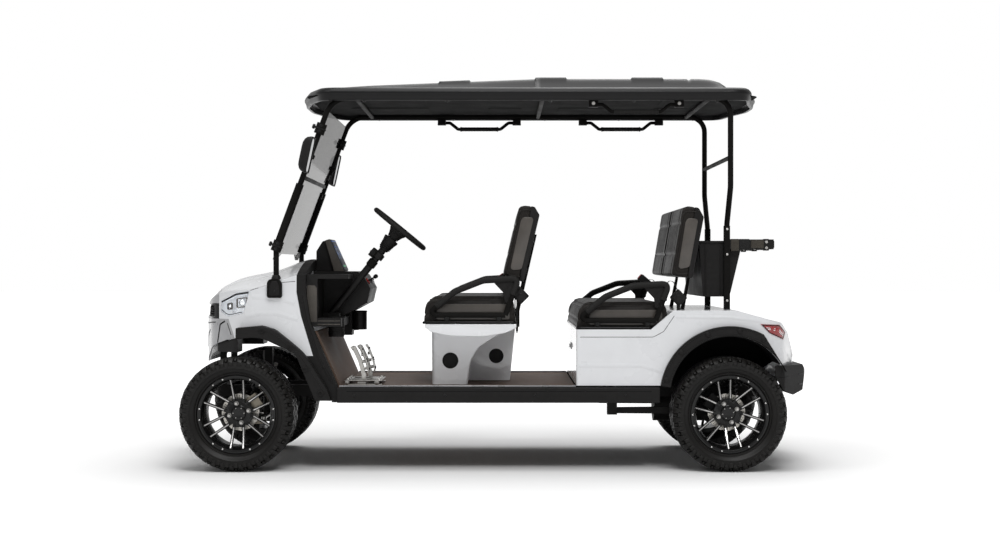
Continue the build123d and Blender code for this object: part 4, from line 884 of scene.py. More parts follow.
def wheel_shapes(turn, sizes):
    """Coated, machined and bolt shapes of one wheel about its centre, outer face towards -Y."""
    coated, cut, bolts = solids(3)
    coated.lathe(RIM_RING, ORIGIN, ALONG_Y, 96, closed=True)
    coated.lathe([(0, 0.030), (0.046, 0.030), (0.062, 0.018), (0.0625, -0.002), (0.0600, HUB_FACE),
                  (0.0420, HUB_FACE - 0.001), (0.0370, HUB_FACE - 0.004), (0.0340, HUB_FACE - 0.013),
                  (0.0310, HUB_FACE - 0.0145), (0.0240, HUB_FACE - 0.0135), (0.0, HUB_FACE - 0.0130)],
                 ORIGIN, ALONG_Y, 48)
    coated.lathe([(0.046, 0.010), (0.046, 0.0585), (0.0, 0.0585)], ORIGIN, ALONG_Y, 32)
    for k in range(SPOKES):
        angle = radians(turn + k * 360 / SPOKES)
        for hand in SIDES:
            rib(coated, angle, hand, 0.0150, 0.044, 0.1735, 0.0, 0.016)
            rib(cut, angle, hand, 0.0064, 0.072, 0.1700, 0.0007, 0.002)
            a = angle + hand * radians(21.5)
            spot = Vector((0.1868 * cos(a), -0.0925, 0.1868 * sin(a)))
            cut.button(spot, (0, -1, 0), sizes.rivet_radius, 0.0032, 14)
        web = []
        for r, w in ((0.050, 0.030), (0.066, 0.033), (0.072, 0.018), (0.072, -0.018), (0.066, -0.033),
                     (0.050, -0.030)):
            web.append(Matrix.Rotation(-angle, 3, "Y") @ Vector((r, 0, w)))
        coated.prism([(v.x, v.z) for v in web], "y", HUB_FACE + 0.002, HUB_FACE + 0.016, 0.002)
    coated.lathe([(0.1944, -0.0932), (0.1950, -0.0933), (0.1956, -0.0927), (0.1950, -0.0922)], ORIGIN,
                 ALONG_Y, 96, closed=True)
    for k in range(4):
        a = radians(turn - 16 + 90 * k)
        spot = Vector((0.0500 * cos(a), HUB_FACE, 0.0500 * sin(a)))
        bolts.lathe([(0.0120, 0), (0.0120, 0.002), (0.0102, 0.004), (0.0, 0.004)], spot, (0, -1, 0), 24)
        bolts.lathe([(0.0092, 0.003), (0.0092, 0.016), (0.0075, 0.020), (0.0040, 0.0215), (0, 0.0217)],
                    spot, (0, -1, 0), 6, phase=a)
    for k in range(6):
        a = radians(turn + 30 + 60 * k)
        bolts.button((0.0275 * cos(a), HUB_FACE - 0.0135, 0.0275 * sin(a)), (0, -1, 0), 0.0028, 0.002, 12)
    a = radians(turn + 30)      # of the tyre valve
    stem = Vector((0.166 * cos(a), -0.060, 0.166 * sin(a)))
    coated.lathe([(0.0060, 0), (0.0045, 0.006), (0.0035, 0.012), (0.0042, 0.013), (0.0042, 0.024),
                  (0.0, 0.0245)], stem, (-cos(a) * 0.45, -1, -sin(a) * 0.45), 14)
    return coated, cut, bolts


def disc_shape():
    """Slotted and drilled brake disc with its bell."""
    disc = Solid()
    steps = 72
    outer, inner = 0.095, 0.0585
    verts, faces = [], []
    for y in (0.0402, 0.0440, 0.0480, 0.0518):
        bevel = 0.0008 if y in (0.0402, 0.0518) else 0.0
        for k in range(steps):
            wave = 0.0012 * (1 if (k % 6) < 3 else -1)
            for r in (inner, outer - bevel + wave - 0.0012):
                a = 2 * pi * k / steps
                verts.append((r * cos(a), y, r * sin(a)))
    row = 2 * steps
    for i in range(3):
        for k in range(steps):
            a, b = 2 * k, 2 * ((k + 1) % steps)
            faces.append((i * row + a + 1, i * row + b + 1, (i + 1) * row + b + 1, (i + 1) * row + a + 1))
            faces.append((i * row + a, (i + 1) * row + a, (i + 1) * row + b, i * row + b))
    for k in range(steps):
        a, b = 2 * k, 2 * ((k + 1) % steps)
        faces.append((a, b, b + 1, a + 1))
        faces.append((3 * row + a, 3 * row + a + 1, 3 * row + b + 1, 3 * row + b))
    disc.take(verts, faces)
    return disc


def disc_hole_shade_and_bell():
    """Dark slots and drillings on both faces of the disc, and the bell in its middle."""
    marks = Solid()
    for k in range(12):
        a = 2 * pi * k / 12
        for y0, y1 in ((0.0398, 0.0404), (0.0516, 0.0522)):
            turn = Matrix.Rotation(-a, 4, "Y")
            marks.block(0.066, 0.089, y0, y1, 0.0035, 0.0062, 0.0003, 1, turn, ORIGIN)
            for r in (0.068, 0.078, 0.087):
                spot = Vector((r * cos(a + 0.2), y0, r * sin(a + 0.2)))
                marks.lathe([(0.0022, 0), (0.0024, 0.0003), (0.0022, 0.0006), (0, 0.0006)], spot, ALONG_Y, 10)
    marks.lathe([(0.0590, 0.0385), (0.0590, 0.0530), (0.0560, 0.0545), (0.0450, 0.0548), (0.0450, 0.0380)],
                ORIGIN, ALONG_Y, 48, closed=True)
    return marks


def corner(end, hand):
    """Matrix of a wheel on one side; the right side is turned round."""
    x = AXLES[end][0]
    turn = Matrix.Rotation(pi, 4, "Z") if hand > 0 else Matrix.Identity(4)
    return Matrix.Translation((x, hand * WHEEL_Y, TYRE_R)) @ turn


def make_tyres():
    """Four tyres with their tread blocks."""
    sizes = bpy.context.scene.cart_sizes
    mesh = tyre_shape(sizes).mesh("tyre", "Tyre Rubber", 38)
    for end in AXLES:
        for hand, side in HANDS:
            instance(mesh, f"Tyre_{end}_{side}", f"wheel_{end}_{side}", [f"tyre_{end}_{side}"],
                     corner(end, hand))


def make_wheels():
    """Four alloy wheels with their bolts and brake discs."""
    sizes = bpy.context.scene.cart_sizes
    disc = disc_shape().mesh("disc", "Brake Disc")
    # the disc's slots and drillings are dark marks: painted shade of the hollows
    marks = disc_hole_shade_and_bell().mesh("disc marks", "Black Bolt")
    for end, axle in AXLES.items():
        rim, cut, bolts = wheel_shapes(axle[1], sizes)
        rim = rim.mesh("rim", "Alloy Black")
        others = {"Rim_Cut": cut.mesh("cut faces", "Machined Alloy"),
                  "Wheel_Bolts": bolts.mesh("wheel bolts", "Zinc Bolt"), "Brake_Disc": disc,
                  "Disc_Marks": marks}
        for hand, side in HANDS:
            body, at = f"wheel_{end}_{side}", corner(end, hand)
            instance(rim, f"Rim_{end}_{side}", body, [body], at)
            for name, mesh in others.items():
                instance(mesh, f"{name}_{end}_{side}", body, at=at)


# ---------------------------------------------------------- solids that stay
KEPT = {  # finish: {node: edge rounding as a share of the panel edge}
    "Chassis Steel": {"chassis_frame": 0.6, "front_suspension": 0, "rear_suspension": 0, "rear_axle": 0},
    "Coated Steel": {"roof_frame": 0, "front_seat_frame": 0, "rear_seat_frame": 0, "grab_handles": 0},
    "Black Plastic": {"steering_column": 0, "bag_rack": 0.5, "sills": 1.0, "cowl_trim": 0.8,
                      "rear_flares": 0.8, "front_bumper": 1.0, "rear_bumper": 1.0, "dashboard": 1.0,
                      "seat_belts": 0.4, "battery_pack": 1.0},
    "White Paint": {"front_cowl": 0.6, "rear_body": 1.0},
    "Floor Mat": {"floor": 0.8}, "Liner Plastic": {"rear_liners": 0}, "Gloss Black": {"grille": 0.5},
    "Silver Trim": {"nose_panel": 0.6}, "Lens Clear": {"headlamps": 0}, "Lens Red": {"tail_lamps": 0},
    "Tinted Glass": {"windshield": 0}, "Zinc Bolt": {"steering_rack": 0},
    "Cast Caliper": {"knuckle_left": 0, "knuckle_right": 0}}


def make_finishes():
    """Finish and rounded edges of every solid that stays in sight."""
    sizes = bpy.context.scene.cart_sizes
    for material, nodes in KEPT.items():
        for node, share in nodes.items():
            reshade(node, material, share * sizes.edge_round)


# ------------------------------------------------------- shapes laid on a skin
class Skin:
    """Surface of a node or a mesh, for laying strips, caps and bolts on it."""

    def __init__(self, source):
        mesh = NODE[source].data if isinstance(source, str) else source
        self.tree = BVHTree.FromPolygons([v.co for v in mesh.vertices],
                                         [face.vertices[:] for face in mesh.polygons])

    def hit(self, start, way, fallback):
        """Point and normal where a ray meets the skin, or those that are nearest to the fallback."""
        spot, normal = self.tree.ray_cast(Vector(start), Vector(way))[:2]
        return (spot, normal) if spot else self.tree.find_nearest(Vector(fallback))[:2]

    def side(self, x, z, hand):
        """Hit of a line across the cart, from the left (-1) or the right (1)."""
        return self.hit((x, hand * 1.2, z), (0, -hand, 0), (x, hand * 0.6, z))

    def end(self, y, z, hand):
        """Hit of a line along the cart, from the front (-1) or the rear (1)."""
        return self.hit((hand * 2.5, y, z), (-hand, 0, 0), (hand * 1.5, y, z))

    def top(self, x, y):
        return self.hit((x, y, 3.0), (0, 0, -1), (x, y, 1.0))


def fine_path(points, step=0.02, bends=0.0):
    """Path divided into short runs, its corners eased."""
    path = rounded(points, bends) if bends else [Vector(p) for p in points]
    made = [path[0]]
    for a, b in zip(path, path[1:]):
        count = max(1, ceil((b - a).length / step))
        made += [a.lerp(b, k / count) for k in range(1, count + 1)]
    return made


def lay(shape, hits, section):
    """Section of (across, out) points carried along points of a skin, standing on its normals."""
    rows = []
    for i, (p, normal) in enumerate(hits):
        along = (hits[min(i + 1, len(hits) - 1)][0] - hits[max(i - 1, 0)][0]).normalized()
        side = normal.cross(along).normalized()
        rows.append([p + side * a + normal * b for a, b in section])
    shape.loft(rows)


def strip_section(width, height, sink=0.002, edge=0.3):
    """Low strip with sloping edges, its foot sunk into the skin."""
    w, top = width / 2, width / 2 * (1 - edge)
    return [(-w, -sink), (w, -sink), (w, 0.0), (top, height), (-top, height), (-w, 0.0)]


def side_strip(shape, skin, points, hand, width, height, bends=0.0, edge=0.3, step=0.02):
    """Strip along (x, z) points of a side."""
    path = fine_path([(x, 0, z) for x, z in points], step, bends)
    lay(shape, [skin.side(p.x, p.z, hand) for p in path], strip_section(width, height, edge=edge))


def end_strip(shape, skin, points, hand, width, height, bends=0.0, edge=0.3, step=0.02):
    """Strip along (y, z) points of the front or the rear."""
    path = fine_path([(0, y, z) for y, z in points], step, bends)
    lay(shape, [skin.end(p.y, p.z, hand) for p in path], strip_section(width, height, edge=edge))


def faces_of(node, wanted, out):
    """Copy of some faces of a solid, moved out along their normals."""
    bm = bmesh.new()
    bm.from_mesh(NODE[node].data)
    bmesh.ops.remove_doubles(bm, verts=bm.verts, dist=WELD)
    bmesh.ops.delete(bm, geom=[f for f in bm.faces if not wanted(f.normal, f.calc_center_median())],
                     context="FACES")
    bm.normal_update()
    for vert in bm.verts:
        vert.co += vert.normal * out
    return bm


def cap(shape, skin, x, z, hand, radius, height, steps=24):
    """Low domed cap on a side."""
    spot, normal = skin.side(x, z, hand)
    shape.lathe([(radius * 1.08, -0.002), (radius * 1.08, 0.0006), (radius, height * 0.45),
                 (radius * 0.8, height * 0.85), (radius * 0.45, height), (0, height)], spot, normal, steps)


# ------------------------------------------------------------------- front body
LAMP_BROWS = [([(-1.384, 0.846), (-1.302, 0.884), (-1.236, 0.894)], 0.0085),
              ([(-1.384, 0.806), (-1.350, 0.779), (-1.268, 0.796)], 0.0035)]     # x, z along the lens, width
NOSE_VEES = [([(-1.366, 0.748), (-1.394, 0.732), (-1.414, 0.612)], 0.009),
             ([(-1.352, 0.738), (-1.330, 0.680)], 0.004)]
FLARE_BOLTS = [(-1.160, 0.704), (-1.022, 0.622), (-0.945, 0.512), (-0.868, 0.392)]   # x, z
CREASES = [  # x, z of the pressed lines along the cowl
    [(-1.215, 0.872), (-1.140, 0.874), (-1.060, 0.862), (-1.003, 0.842)],
    [(-1.250, 0.775), (-1.190, 0.790), (-1.090, 0.790), (-0.985, 0.762)]]


def make_cowl_details():
    """Pressed lines, seams and trim of the front body."""
    skin = Skin("front_cowl")
    ridge, seam = solids(2)
    for hand in SIDES:
        for line in CREASES:
            side_strip(ridge, skin, line, hand, 0.030, 0.0028, 0.03, edge=0.94)
        side_strip(seam, skin, [(-1.225, 0.905), (-1.150, 0.930), (-1.060, 0.945), (-1.000, 0.950)], hand,
                   0.0028, 0.0004)
    for y in (-0.30, 0.30):
        path = fine_path([(-1.42, y * 0.9, 0), (-1.20, y, 0), (-0.998, y * 1.04, 0)], 0.02, 0.1)
        lay(ridge, [skin.top(p.x, p.y) for p in path], strip_section(0.036, 0.0030, edge=0.94))
    ridge.place("Cowl_Creases", "White Paint", slot="white_body", smooth=60)
    seam.place("Cowl_Seams", "Black Plastic")

    trim = Solid()
    strip = Skin("cowl_trim")
    for hand in SIDES:
        side_strip(trim, strip, [(-0.970, 0.880), (-0.948, 0.765), (-0.884, 0.570), (-0.812, 0.440)], hand,
                   0.012, 0.0022, 0.03)
        cap(trim, strip, -0.966, 0.845, hand, 0.0075, 0.0035)
        cap(trim, strip, -0.858, 0.520, hand, 0.0075, 0.0035)
    trim.place("Cowl_Trim_Ridge", "Soft Plastic")


def make_nose_details():
    """Grooves of the nose panel and bars of the grille."""
    lower = Skin("nose_panel")
    groove, bars = solids(2)
    for hand in SIDES:
        end_strip(groove, lower, [(hand * 0.03, 0.600), (hand * 0.18, 0.612), (hand * 0.36, 0.700)], -1,
                  0.010, 0.0012, 0.05)
        end_strip(groove, lower, [(hand * 0.03, 0.728), (hand * 0.30, 0.733), (hand * 0.45, 0.742)], -1,
                  0.006, 0.0010, 0.05)
        for line, width in NOSE_VEES:
            side_strip(groove, lower, line, hand, width, 0.0012, 0.012, step=0.01)
    groove.place("Nose_Grooves", "Soft Plastic")
    mouth = Skin("grille")
    for z in (0.776, 0.788, 0.800, 0.812, 0.824):
        end_strip(bars, mouth, [(-0.40, z), (0.40, z)], -1, 0.0045, 0.0045, step=0.03)
    for k in range(-9, 10):
        end_strip(bars, mouth, [(k * 0.042 - 0.008, 0.771), (k * 0.042 + 0.008, 0.829)], -1, 0.004, 0.0055)
    bars.place("Grille_Bars", "Soft Plastic")


LAMP_FRAMES = [(-1.346, 0.824, 0.030, 0.034), (-1.277, 0.843, 0.058, 0.052)]    # x, z, width, height


def make_headlamps():
    """Bright housings, dark frames round their projectors, and a thin dark brow over each lens."""
    def inner(hand):
        return lambda normal, centre: centre.y * hand > 0 and normal.y * hand < 0.25

    cup, frames, bulbs, brow, strip = solids(5)
    skin = Skin("headlamps")
    for hand in SIDES:
        cup.merge(faces_of("headlamps", inner(hand), 0.0004))
        for line, width in LAMP_BROWS:
            side_strip(brow, skin, line, hand, width, 0.0014, 0.05, edge=0.2, step=0.01)
        for x, z, wide, tall in LAMP_FRAMES:
            spot, normal = skin.side(x, z, hand)
            base = spot - normal * 0.016
            place = frame_of(Vector((normal.y, -normal.x, 0)).normalized() * hand, Vector(UP), normal, base)
            corners = [(-wide / 2, -tall / 2), (wide / 2, -tall * 0.36), (wide / 2, tall / 2),
                       (-wide / 2, tall * 0.36)]
            rim = [place @ Vector((a, b, 0)) for a, b in rounded2(corners, [0.006] * 4)]
            frames.sweep(rim, [(-0.0028, -0.004), (0.0028, -0.004), (0.0020, 0.006), (-0.0020, 0.006)],
                         closed=True, up=normal)
            bulbs.lathe([(0, -0.004), (tall * 0.34, -0.003), (tall * 0.32, 0.003), (tall * 0.2, 0.0065),
                         (0, 0.008)], base, normal, 28)
        path = fine_path([(-1.366, 0, 0.846), (-1.306, 0, 0.878), (-1.246, 0, 0.886)], 0.01, 0.02)
        hits = [(spot - normal * 0.010, normal) for spot, normal in (skin.side(p.x, p.z, hand) for p in path)]
        lay(strip, hits, strip_section(0.006, 0.003, 0.001))
    # the housings glow: a painted reflection of chrome
    cup.place("Headlamp_Housings", "Lamp Silver", slot="lamp_clear")
    brow.place("Headlamp_Brows", "Soft Plastic")
    frames.place("Headlamp_Frames", "Grey Plastic", slot="grey_plastic")
    bulbs.place("Headlamp_Lenses", "Mirror Glass", slot="lamp_clear")
    strip.place("Headlamp_Strips", "Lamp White", slot="lamp_clear")


# x, z of the front arch's upper and lower edge
FLARE_TOP = [(-1.291, 0.7177), (-1.162, 0.7297), (-1.095, 0.7097), (-1.010, 0.6417), (-0.946, 0.5870),
             (-0.8360, 0.412), (-0.8156, 0.356)]
FLARE_BOTTOM = [(-1.291, 0.664), (-1.170, 0.672), (-1.085, 0.632), (-0.996, 0.595), (-0.971, 0.534),
                (-0.931, 0.439), (-0.896, 0.356)]
FLARE_BENDS = [0.20, 0.14, 0.20, 0.30, 0.10]
REAR_ARCH = (AXLES["rear"][0], 0.375)       # x, z of the rear arches' centre


def make_flare_details():
    """Front arches with a rolled lip, and the bosses and beads of all four."""
    plates, caps, lines = solids(3)
    rear = Skin("rear_flares")
    top = rounded([(x, 0, z) for x, z in FLARE_TOP], FLARE_BENDS)
    bottom = rounded([(x, 0, z) for x, z in FLARE_BOTTOM], FLARE_BENDS)
    wall = [(p.x - 0.008 * n.x, p.z - 0.008 * n.z) for p, n in zip(top, path_normals(top))]
    for hand in SIDES:
        plates.prism([(p.x, p.z) for p in top + bottom[::-1]], "y", hand * 0.6285, hand * 0.6395, 0.0040, 3)
        plates.prism([(p.x, p.z) for p in top] + wall[::-1], "y", hand * 0.5605, hand * 0.6300)
        lip = [Vector((p.x - n.x * 0.011, hand * 0.6375, p.z - n.z * 0.011))
               for p, n in zip(top, path_normals(top))]
        lines.sweep(lip[1:-1], [(-0.0085, -0.002), (0.0085, -0.002), (0.0070, 0.0035), (0.0, 0.0050),
                                (-0.0070, 0.0035)], up=(0, hand, 0))
        for x, z in FLARE_BOLTS:
            caps.lathe([(0.0165, 0), (0.0165, 0.0015), (0.0140, 0.0050), (0.0085, 0.0062), (0.0070, 0.0030),
                        (0, 0.0030)], (x, hand * 0.6390, z), (0, hand, 0), 28)
        for angle in (165, 138, 110, 82, 60):
            cap(caps, rear, *on_arch(0.330, angle), hand, 0.0130, 0.006)
        for radius, end in ((0.344, 64), (0.310, 28)):
            arc = [on_arch(radius, angle) for angle in range(168, end, -6)]
            side_strip(lines, rear, arc, hand, 0.005, 0.0018)
    plates.place("Front_Arches", "Black Plastic", stands_for=["front_flares"], smooth=45)
    caps.place("Flare_Bosses", "Soft Plastic")
    lines.place("Flare_Beads", "Seat Shell")


def on_arch(radius, angle):
    """Point (x, z) round the rear wheel, its angle in degrees from the rear."""
    return REAR_ARCH[0] + radius * cos(radians(angle)), REAR_ARCH[1] + radius * sin(radians(angle))


def path_normals(path):
    """Upward normals of a path in the side view."""
    made = []
    for i in range(len(path)):
        along = (path[min(i + 1, len(path) - 1)] - path[max(i - 1, 0)]).normalized()
        made.append(Vector((-along.z, 0, along.x)))
    return made


# ------------------------------------------------------------------- upholstery
CUSHION_BOXES = {  # name: (x0, x1, z0, z1)
    "Front_Cushion": (-0.359, 0.105, 0.7373, 0.872), "Rear_Cushion": (0.408, 0.870, 0.7103, 0.843)}
CUSHION_HALF = 0.572
BACK_VIEWS = {  # side views (x, z), front foot first, as the solids have them
    "Front_Back": [(0.037, 0.978), (0.118, 1.328), (0.148, 1.335), (0.202, 1.324), (0.225, 1.283),
                   (0.145, 0.945)],
    "Rear_Back": [(0.883, 0.978), (0.941, 1.323), (0.970, 1.332), (1.026, 1.318), (1.050, 1.273),
                  (0.992, 0.966)]}
BACK_SPAN = (0.022, 0.560)
PAD_DEPTH = 0.80            # the pad is the front part of a backrest, its shell the rest
# shares (depth, height) of a backrest's side: corners of its side panel, runs of its piping and its seam
BACK_PANEL = [(0.27, 0.10), (0.24, 0.88), (0.77, 0.93), (0.77, 0.17)]
BACK_EDGE = [(0.76, 0.06), (0.10, 0.03), (0.09, 0.96), (0.62, 1.02)]
BACK_SEAM = [(0.72, 0.12), (0.19, 0.07), (0.17, 0.92), (0.64, 0.97)]
VOXEL = 0.006               # size of the pads' mesh cells
FRAMES = 20                 # of the pads' simulation


def swollen(shape, name, pressure, most, hold):
    """Padded form, blown up by a cloth simulation but no further than most and held where hold says."""
    mesh = bpy.data.meshes.new(name)
    shape.bm.to_mesh(mesh)
    shape.bm.free()
    piece = linked(name, mesh)
    for other in bpy.context.selected_objects:
        other.select_set(False)
    piece.select_set(True)
    bpy.context.view_layer.objects.active = piece
    remesh = piece.modifiers.new("Remesh", "REMESH")
    remesh.mode, remesh.voxel_size = "VOXEL", VOXEL
    bpy.ops.object.modifier_apply(modifier="Remesh")
    start = [v.co.copy() for v in piece.data.vertices]
    pins = piece.vertex_groups.new(name="Held")
    for vert in piece.data.vertices:
        weight = hold(vert.co)
        if weight > 0.0:
            pins.add([vert.index], weight, "REPLACE")
    cloth = piece.modifiers.new("Cloth", "CLOTH")
    settings = cloth.settings
    settings.quality, settings.mass = 4, 0.3
    settings.use_pressure, settings.uniform_pressure_force = True, pressure
    settings.tension_stiffness = settings.compression_stiffness = 20.0
    settings.shear_stiffness, settings.bending_stiffness = 8.0, 1.5
    settings.effector_weights.gravity = 0.0
    settings.vertex_group_mass = pins.name
    cloth.collision_settings.use_collision = False
    cloth.point_cache.frame_start, cloth.point_cache.frame_end = 1, FRAMES
    scene = bpy.context.scene
    for step in range(1, FRAMES + 1):
        scene.frame_set(step)
    solved = piece.evaluated_get(bpy.context.evaluated_depsgraph_get())
    ends = [v.co.copy() for v in solved.data.vertices]
    piece.modifiers.clear()
    piece.vertex_groups.clear()
    scene.frame_set(1)
    for vert, a, b in zip(piece.data.vertices, start, ends):
        move = b - a
        vert.co = a + move * min(1.0, most / max(move.length, 1e-9))
    return piece


def finish_pad(piece, node, sewn):
    """Sewn channels and creases come after the remesh, then the surface is evened."""
    for vert in piece.data.vertices:
        vert.co = sewn(vert.co)
    piece.data.materials.append(finish("Seat Vinyl"))
    piece.data.shade_smooth()
    smooth = piece.modifiers.new("Even", "SMOOTH")
    smooth.factor, smooth.iterations = 0.5, 2
    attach(piece, CHASSIS)
    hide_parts(node)


def dip(distance, width):
    """1 at a seam's line, fading to 0 at its edge."""
    t = min(1.0, abs(distance) / width)
    return (1 - t * t) ** 2


def seat_cushion(name, node, x0, x1, z0, z1, sizes):
    """Bench cushion: rolled front, raised bolsters at the ends, sewn channels and piped seams."""
    half = CUSHION_HALF
    shape = Solid()
    view = rounded2([(x0 + 0.003, z0 + 0.001), (x1 - 0.003, z0 + 0.001), (x1 - 0.004, z1 - 0.008),
                     (x0 + 0.004, z1 - 0.010)], [0.014, 0.014, 0.034, 0.060])
    shape.prism(view, "y", -half + 0.003, half - 0.003, 0.012, 3)

    def hold(co):
        return 1.0 if co.z < z0 + 0.012 else max(0.0, 1.0 - (co.z - z0 - 0.012) / 0.05) * 0.6

    piece = swollen(shape, name, 3.2, sizes.crown, hold)
    bolster = half - 0.135
    seams = [bolster, -bolster, 0.0]
    channels = [k * 0.109 for k in (-3.5, -2.5, -1.5, -0.5, 0.5, 1.5, 2.5, 3.5)]
    depth, top = x1 - x0, z1 + 0.004

    def more(co):
        up = max(0.0, min(1.0, (co.z - z0 - 0.055) / 0.05))
        inner = min(1.0, max(0.0, (bolster - abs(co.y)) / 0.02))
        back = max(0.0, min(1.0, (co.x - x0 - 0.085) / 0.03))
        drop = 0.0
        for y in seams:
            drop = max(drop, 0.009 * dip(co.y - y, 0.011))
        for y in channels:
            drop = max(drop, 0.0045 * dip(co.y - y, 0.014) * inner * back)
        drop = max(drop, 0.007 * dip(co.x - x0 - 0.085, 0.012) * inner)
        rim = 0.006 * dip(co.z - (z0 + 0.046), 0.008) * (1 - up)
        z = co.z - drop * up + 0.006 * (1 - inner) * up * dip(abs(co.y) - half + 0.062, 0.075)
        lean_y = 1.0 - rim / half
        mid = (x0 + x1) / 2
        x = mid + (co.x - mid) * (1.0 - rim / (depth / 2))
        return Vector((max(x0 - 0.004, min(x1 + 0.004, x)), max(-half, min(half, co.y * lean_y)),
                       max(z0, min(top, z))))

    finish_pad(piece, node, more)
    skin = Skin(piece.data)
    trim, rows, sides = solids(3)
    for inset in (0.020, 0.031):
        plan = [(x0 + inset + 0.012, -half + inset), (x1 - inset, -half + inset), (x1 - inset, half - inset),
                (x0 + inset + 0.012, half - inset)]
        path = fine_path([(x, y, 0) for x, y in rounded2(plan, [0.045] * 4)], 0.012)
        path.append(path[0].copy())
        hits = [skin.top(p.x, p.y) for p in path]
        if inset < 0.025:
            lay(trim, hits, [(-sizes.piping, 0), (sizes.piping, 0), (sizes.piping * 0.7, sizes.piping * 0.8),
                             (0, sizes.piping * 1.1), (-sizes.piping * 0.7, sizes.piping * 0.8)])
        else:
            stitches(rows, [hit[0] for hit in hits], UP, sizes)
    for hand in SIDES:
        # side panels lighter than the vinyl: partly their own brown-black, partly a painted sheen
        panel = rounded2([(x0 + 0.060, z0 + 0.020), (x1 - 0.032, z0 + 0.020), (x1 - 0.032, z1 - 0.036),
                          (x0 + 0.072, z1 - 0.036)], [0.020, 0.015, 0.020, 0.030])
        sides.prism(panel, "y", hand * (half - 0.004), hand * (half + 0.0015), 0.0015, 2)
    trim.place(name + "_Piping", "Seat Vinyl", slot="seat_vinyl", smooth=60)
    rows.place(name + "_Stitches", "Stitching", slot="seat_vinyl")
    sides.place(name + "_Sides", "Seat Side", slot="seat_vinyl")


def on_back(view, depth, height):
    """Point (x, z) of a backrest's side: depth from its front face, height from its foot, both as shares."""
    front, rear = [[lo + (hi - lo) * height for lo, hi in zip(view[a], view[b])] for a, b in ((0, 1), (5, 4))]
    return tuple(a + (b - a) * depth for a, b in zip(front, rear))


def seat_back(name, node, view, hand, sizes):
    """Backrest pad: a headed upper part, a cross seam, sewn channels and side bolsters."""
    y0, y1 = BACK_SPAN
    shape = Solid()
    (fx, fz), (tx, tz), (ux, uz), (vx, vz) = view[:4]
    mid_top = (ux + (vx - ux) * 0.7, uz + (vz - uz) * 0.7)
    outline = rounded2([(fx + 0.004, fz + 0.003), (tx + 0.003, tz - 0.004), (ux, uz - 0.004), mid_top,
                        on_back(view, PAD_DEPTH, 0.0)], [0.016, 0.018, 0.010, 0.012, 0.012])
    shape.prism(outline, "y", hand * (y0 + 0.003), hand * (y1 - 0.003), 0.008, 3)
    foot = Vector((fx, 0, fz))
    up = (Vector((tx, 0, tz)) - foot).normalized()
    out = Vector((-up.z, 0, up.x))

    def hold(co):
        depth = (co - foot).dot(out)
        return 1.0 if depth < -0.055 or y1 - abs(co.y) < 0.004 else 0.15

    piece = swollen(shape, name, 2.6, sizes.crown * 0.6, hold)
    mid = hand * (y0 + y1) / 2
    bolster = (y1 - y0) / 2 - 0.085

    def more(co):
        height = (co - foot).dot(up)
        front = max(0.0, min(1.0, ((co - foot).dot(out) + 0.030) / 0.02))
        side = co.y - mid
        inner = min(1.0, max(0.0, (bolster - abs(side)) / 0.015))
        cross = 0.009 * dip(height - 0.112, 0.011) * min(1.0, max(0.0, (y1 - 0.012 - abs(co.y)) / 0.01))
        head = 0.006 * dip(height - 0.268, 0.010)
        drop = max(cross, head)
        for k in (-1, 1):
            drop = max(drop, 0.008 * dip(side - k * bolster, 0.010))
        for k in range(-2, 3):
            channel = 0.0042 * dip(side - k * 0.062, 0.013) * inner
            drop = max(drop, channel * (1 if 0.112 < height < 0.268 else 0))
        return co - out * (drop * front)

    finish_pad(piece, node, more)


def back_shells(name, view, sizes):
    """Bevelled rear shells of a pair of backrests, with a raised rim and bolts."""
    y0, y1 = BACK_SPAN
    (ux, uz), (vx, vz), (wx, wz), (bx, bz) = view[2:]
    shell, bolts = solids(2)
    top = (ux + (vx - ux) * 0.62, uz + (vz - uz) * 0.62)
    foot = on_back(view, PAD_DEPTH - 0.01, 0.0)
    sides, piping, rows = solids(3)
    for hand in SIDES:
        outer = rounded2([foot, top, (vx - 0.002, vz), (wx - 0.001, wz), (bx - 0.001, bz)],
                         [0.004, 0.006, 0.014, 0.014, 0.010])
        shell.prism(outer, "y", hand * y0, hand * y1, 0.010, 3)
        # side panels lighter than the vinyl: partly their own brown-black, partly a painted sheen
        panel = rounded2([on_back(view, d, h) for d, h in BACK_PANEL], [0.024, 0.030, 0.016, 0.020])
        sides.prism(panel, "y", hand * (y1 - 0.003), hand * (y1 + 0.0015), 0.0015, 2)
        edge = rounded([(x, hand * (y1 - 0.001), z)
                        for x, z in (on_back(view, d, h) for d, h in BACK_EDGE)], 0.03)
        piping.tube(edge, sizes.piping * 0.8, 8)
        seam = rounded([(x, hand * (y1 + 0.0005), z)
                        for x, z in (on_back(view, d, h) for d, h in BACK_SEAM)], 0.03)
        stitches(rows, seam, (0, hand, 0), sizes)
        for share in (0.18, 0.62):
            for y in (0.16, 0.42):
                x, z = bx + (wx - bx) * share, bz + (wz - bz) * share
                normal = Vector((wz - bz, 0, -(wx - bx))).normalized()
                bolts.button(Vector((x, hand * y, z)) - normal * 0.001, normal, 0.008, 0.004, 16)
    shell.place(name + "_Shells", "Seat Shell", smooth=50)
    bolts.place(name + "_Bolts", "Black Bolt", slot="black_steel")
    sides.place(name + "_Sides", "Seat Side", slot="seat_vinyl")
    piping.place(name + "_Piping", "Seat Vinyl", slot="seat_vinyl", smooth=60)
    rows.place(name + "_Stitches", "Stitching", slot="seat_vinyl")


STITCH_SHARE = 0.55         # of the way from stitch to stitch


def stitches(shape, points, normal, sizes):
    """Row of short stitches along a seam."""
    path = fine_path(points, sizes.stitch / STITCH_SHARE)
    up = Vector(normal)
    for p, q in zip(path, path[1:]):
        end = p.lerp(q, STITCH_SHARE)
        shape.sweep([p, (p + end) / 2 + up * 0.0009, end], ring(0.0006, 6), up=up)


